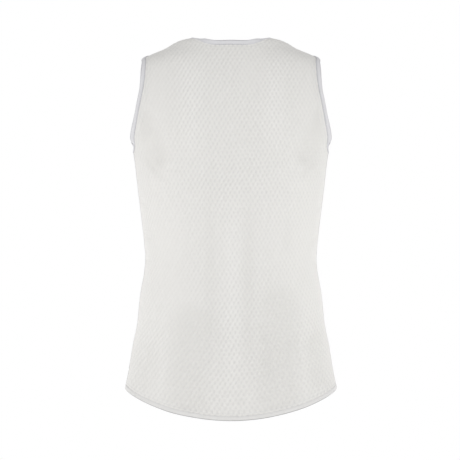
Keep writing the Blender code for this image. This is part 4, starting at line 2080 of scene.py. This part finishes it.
@dataclass
class Studio:
    """The camera at the photograph's angle, soft light all round, and a pale floor far below."""

    distance: float = 3.0
    sensor: float = 36.0
    axis_pixel: float = 230.9
    level_pixel: float = 38.0
    sky: Colour = (0.54, 0.54, 0.54, 1.0)
    horizon: Colour = (1.0, 1.0, 1.0, 1.0)
    sky_range: tuple[float, float] = (0.16, 0.60)
    near_clip: float = 0.1
    far_clip: float = 60.0
    aim_height: float = -0.34
    floor_height: float = -1.50
    floor_half: float = 6.0
    floor_colour: Colour = (0.88, 0.88, 0.88, 1.0)
    floor_worn: Colour = (0.85, 0.85, 0.85, 1.0)
    floor_tone: float = 0.5
    floor_roughness: float = 0.9
    lights: tuple[tuple[str, tuple[float, float, float], float, float], ...] = (
        ("back_left", (-1.50, -2.35, -0.80), 0.9, 12.6),
        ("back_right", (1.50, -2.35, -0.80), 0.9, 12.0),
        ("side_left", (-0.50, -0.06, -0.37), 0.20, 0.32),
        ("side_right", (0.50, -0.06, -0.37), 0.20, 0.32),
        ("front_left", (-1.50, 2.10, -0.60), 0.9, 8.0),
        ("front_right", (1.60, 2.00, -0.60), 0.9, 8.0),
        ("above", (0.0, 0.1, 1.10), 0.9, 1.5),
    )

    def camera(self) -> None:
        """Places the camera straight behind the garment's back, as in the photograph."""
        data = bpy.data.cameras.new("camera")
        data.sensor_width = self.sensor
        data.lens = self.sensor * self.distance / (PICTURE_SIDE * METRES_PER_PIXEL)
        data.clip_start, data.clip_end = self.near_clip, self.far_clip
        camera = bpy.data.objects.new("camera", data)
        middle = PICTURE_SIDE / 2.0
        camera.location = ((middle - self.axis_pixel) * METRES_PER_PIXEL, -self.distance,
                           (self.level_pixel - middle) * METRES_PER_PIXEL)
        camera.rotation_euler = (math.pi / 2.0, 0.0, 0.0)
        bpy.context.scene.collection.objects.link(camera)
        bpy.context.scene.camera = camera

    def world(self) -> None:
        """Lights the scene from all round: white at the horizon, and a little less from above."""
        world = bpy.data.worlds.new("studio")
        bpy.context.scene.world = world
        world.use_nodes = True
        wiring = Wiring(world.node_tree)
        background = world.node_tree.nodes["Background"]
        direction = wiring.add("ShaderNodeTexCoord").outputs["Generated"]
        parts = wiring.fed("ShaderNodeSeparateXYZ", {0: direction})
        height = wiring.spread(parts.outputs[2], *self.sky_range)
        wiring.feed(background.inputs["Color"], wiring.mix(height, self.horizon, self.sky))
        background.inputs["Strength"].default_value = 1.0

    def panel_light(self, name: str, place: Vector, aim: Vector, size: float, power: float) -> None:
        """Adds one soft light panel, facing its aim.

        Args:
            name: The light's name.
            place: Where it stands.
            aim: What it faces.
            size: Its side.
            power: Its power in watts.
        """
        data = bpy.data.lights.new(name, "AREA")
        data.shape = "SQUARE"
        data.size = size
        data.energy = power
        light = bpy.data.objects.new(name, data)
        light.location = place
        light.rotation_euler = (aim - place).to_track_quat("-Z", "Y").to_euler()
        light.visible_camera = False
        bpy.context.scene.collection.objects.link(light)

    def floor(self, tone: NodeTree) -> None:
        """Lays the pale floor.

        Args:
            tone: The cloth tone group.
        """
        half = self.floor_half
        corners = np.array([(-half, -half, self.floor_height), (half, -half, self.floor_height),
                            (half, half, self.floor_height), (-half, half, self.floor_height)])
        floor = make_object("floor", corners, [(0, 1, 2, 3)])
        made, wiring = new_material("pale_floor")
        shader = made.node_tree.nodes["Principled BSDF"]
        toned = toned_colour(wiring, tone, self.floor_colour, self.floor_worn, self.floor_tone)
        wiring.feed(shader.inputs["Base Color"], toned.outputs[0])
        wiring.feed(shader.inputs["Roughness"], self.floor_roughness)
        floor.data.materials.append(made)

    def build(self, tone: NodeTree) -> None:
        """Sets up the whole studio.

        Args:
            tone: The cloth tone group.
        """
        self.camera()
        self.world()
        self.floor(tone)
        middle = Vector((0.0, 0.0, self.aim_height))
        for name, place, size, power in self.lights:
            self.panel_light(name, Vector(place), middle, size, power)
        bpy.context.scene.view_settings.view_transform = "Standard"


@dataclass
class Garment:
    """The whole base layer: panels, bindings, flat seams and stitching."""

    form: Form = field(default_factory=Form)
    weave: DiamondMesh = field(default_factory=DiamondMesh)
    binding_step: float = 0.0014
    fewest_steps: int = 8
    stitch_line: tuple[float, float] = (-0.0006, 0.0006)
    seam_pucker: float = 0.00006
    seam_pucker_pitch: float = 0.0034
    zigzag_line: tuple[float, float] = (0.0, 0.0002)
    zigzag_pitch: float = 0.0011
    zigzag_radius: float = 0.00022
    arm_middle: float = 0.25
    cloth: Material = field(init=False)
    strip: Material = field(init=False)
    hem_strip: Material = field(init=False)
    seam: Material = field(init=False)
    thread: Material = field(init=False)

    def finishes(self, tone: NodeTree) -> None:
        """Makes the five finishes.

        Args:
            tone: The cloth tone group.
        """
        loops = knit_loops_group()
        self.cloth = MeshCloth().make(loops, tone)
        self.strip = BINDING_CLOTH.make(loops, tone)
        self.hem_strip = HEM_CLOTH.make(loops, tone)
        self.seam = SEAM_CLOTH.make(loops, tone)
        self.thread = Thread().make(tone)

    def add(self, piece: Object, slot: str, *nodes: str) -> Object:
        """Makes a piece part of the garment, in place of CAD nodes where it stands for them.

        Args:
            piece: The piece.
            slot: Its material slot, which is not used.
            nodes: The nodes it stands for, if any.

        Returns:
            The piece.
        """
        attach(piece, BODY)
        if nodes:
            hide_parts(*nodes)
        report(piece)
        return piece

    def panel(self, side: Side, creases: tuple[Crease, ...], others: list[Object]) -> None:
        """Builds one panel, in place of its CAD node.

        Args:
            side: The panel's side.
            creases: Its creases.
            others: The pieces that go with its cloth; not used.
        """
        made = Panel(self.form, side, self.weave, creases)
        node = f"{side.value}_panel"
        piece = self.add(made.build(f"{node}_cloth", self.cloth), "diamond_mesh", node)

    def steps(self, route: Array) -> int:
        """How many steps a run takes at the bindings' pitch."""
        length = running_length(self.form.point(route[:, 0], route[:, 1]))[-1]
        return max(int(length / self.binding_step), self.fewest_steps)

    def halves(self, route_of: Callable[[Pattern], Array], matched: bool) -> list[Array]:
        """A run's places on the right half of the back and of the front.

        Args:
            route_of: The pattern's method that gives the run.
            matched: Whether the front takes as many steps as the back, as along a seam.

        Returns:
            Evenly spaced (angle, height) pairs for the back, then the front.
        """
        patterns = [Pattern(self.form, side) for side in (Side.BACK, Side.FRONT)]
        routes = [route_of(pattern) for pattern in patterns]
        counts = [self.steps(routes[0] if matched else route) for route in routes]
        return [pattern.evenly(*run) for pattern, *run in zip(patterns, routes, counts)]

    def binding(self, name: str, strip: Strip) -> list[Object]:
        """Builds a binding and its line of stitches.

        Args:
            name: The binding's name.
            strip: Its strip.

        Returns:
            The strip and the stitches.
        """
        finish = self.hem_strip if name.startswith("hem") else self.strip
        band = self.add(strip.build(f"{name}_strip", finish), "binding_strip", name)
        row = Stitching(strip.line(*self.stitch_line), ThreadPath.RUNNING)
        return [band, self.add(row.build(f"{name}_stitches", self.thread), "binding_strip")]

    def bindings(self) -> list[Object]:
        """Builds the neck's, armholes' and hem's bindings.

        Returns:
            The pieces.
        """
        edge = joined_edge(self.form, *map(mirrored, self.halves(Pattern.neck, False)))
        toward = np.array((0.0, 0.0, BACK_NECK_HEIGHT))
        neck = Strip(edge, toward, FOLDED_SECTION, flare=neck_lean, darkness=dark_behind)
        made = self.binding("neck_binding", neck)
        level = (ARMHOLE[0].height + ARMHOLE[-1].height) / 2.0
        right = self.halves(Pattern.armhole, False)
        for name, sign in (("left", -1.0), ("right", 1.0)):
            halves = [half * np.array((sign, 1.0)) for half in right]
            toward = np.array((sign * self.arm_middle, 0.0, level))
            armhole = Strip(joined_edge(self.form, *halves), toward, FOLDED_SECTION, flare=armhole_flare)
            made += self.binding(f"armhole_binding_{name}", armhole)
        edge = joined_edge(self.form, *map(mirrored, self.halves(Pattern.hem, False)))
        narrower = (HEM_WIDTH + SEAM_GAP) / (BINDING_WIDTH + SEAM_GAP)
        hem = Strip(edge, np.array((0.0, 0.0, -FAR)), FOLDED_SECTION, width_share=narrower)
        return made + self.binding("hem_binding", hem)

    def flat_seam(self, name: str, halves: list[Array],
                  darkness: Callable[[Array], Array]) -> list[Object]:
        """Builds a flat seam and its zigzag thread.

        Args:
            name: The seam's name.
            halves: Its pairs on the back and the front.
            darkness: How strong its painted shade lines are along it.

        Returns:
            The strip and the thread.
        """
        ends = [edge_from(self.form, half, False) for half in halves]
        middle = Edge((ends[0].places + ends[1].places) / 2.0, ends[0].outward, False)
        strip = Strip(middle, np.array((0.0, FAR, 0.0)), SEAM_SECTION, darkness=darkness,
                      pucker=self.seam_pucker, pucker_pitch=self.seam_pucker_pitch)
        thread = Stitching(strip.line(*self.zigzag_line), ThreadPath.ZIGZAG, pitch=self.zigzag_pitch,
                           thread_radius=self.zigzag_radius)
        return [self.add(strip.build(f"{name}_strip", self.seam), "binding_strip"),
                self.add(thread.build(f"{name}_thread", self.thread), "binding_strip")]

    def seams(self) -> list[Object]:
        """Builds the side and shoulder seams.

        Returns:
            The pieces.
        """
        made = []
        for label, route_of, darkness in (("side_seam", Pattern.side_seam, dark_underarm),
                                          ("shoulder_seam", Pattern.shoulder, all_dark)):
            right = self.halves(route_of, True)
            for name, sign in (("left", -1.0), ("right", 1.0)):
                halves = [half * np.array((sign, 1.0)) for half in right]
                made += self.flat_seam(f"{label}_{name}", halves, darkness)
        return made

    def build(self, tone: NodeTree) -> None:
        """Builds every piece of the garment.

        Args:
            tone: The cloth tone group.
        """
        self.finishes(tone)
        bindings = self.bindings()
        seams = self.seams()
        self.panel(Side.BACK, BACK_CREASES, bindings + seams)
        self.panel(Side.FRONT, FRONT_CREASES, [])


def main() -> None:
    """Builds the studio and the garment, and logs each piece."""
    logging.basicConfig(level=logging.INFO, format="%(message)s")
    tone = ClothTone().make()
    Studio().build(tone)
    Garment().build(tone)


if __name__ == "__main__":
    main()
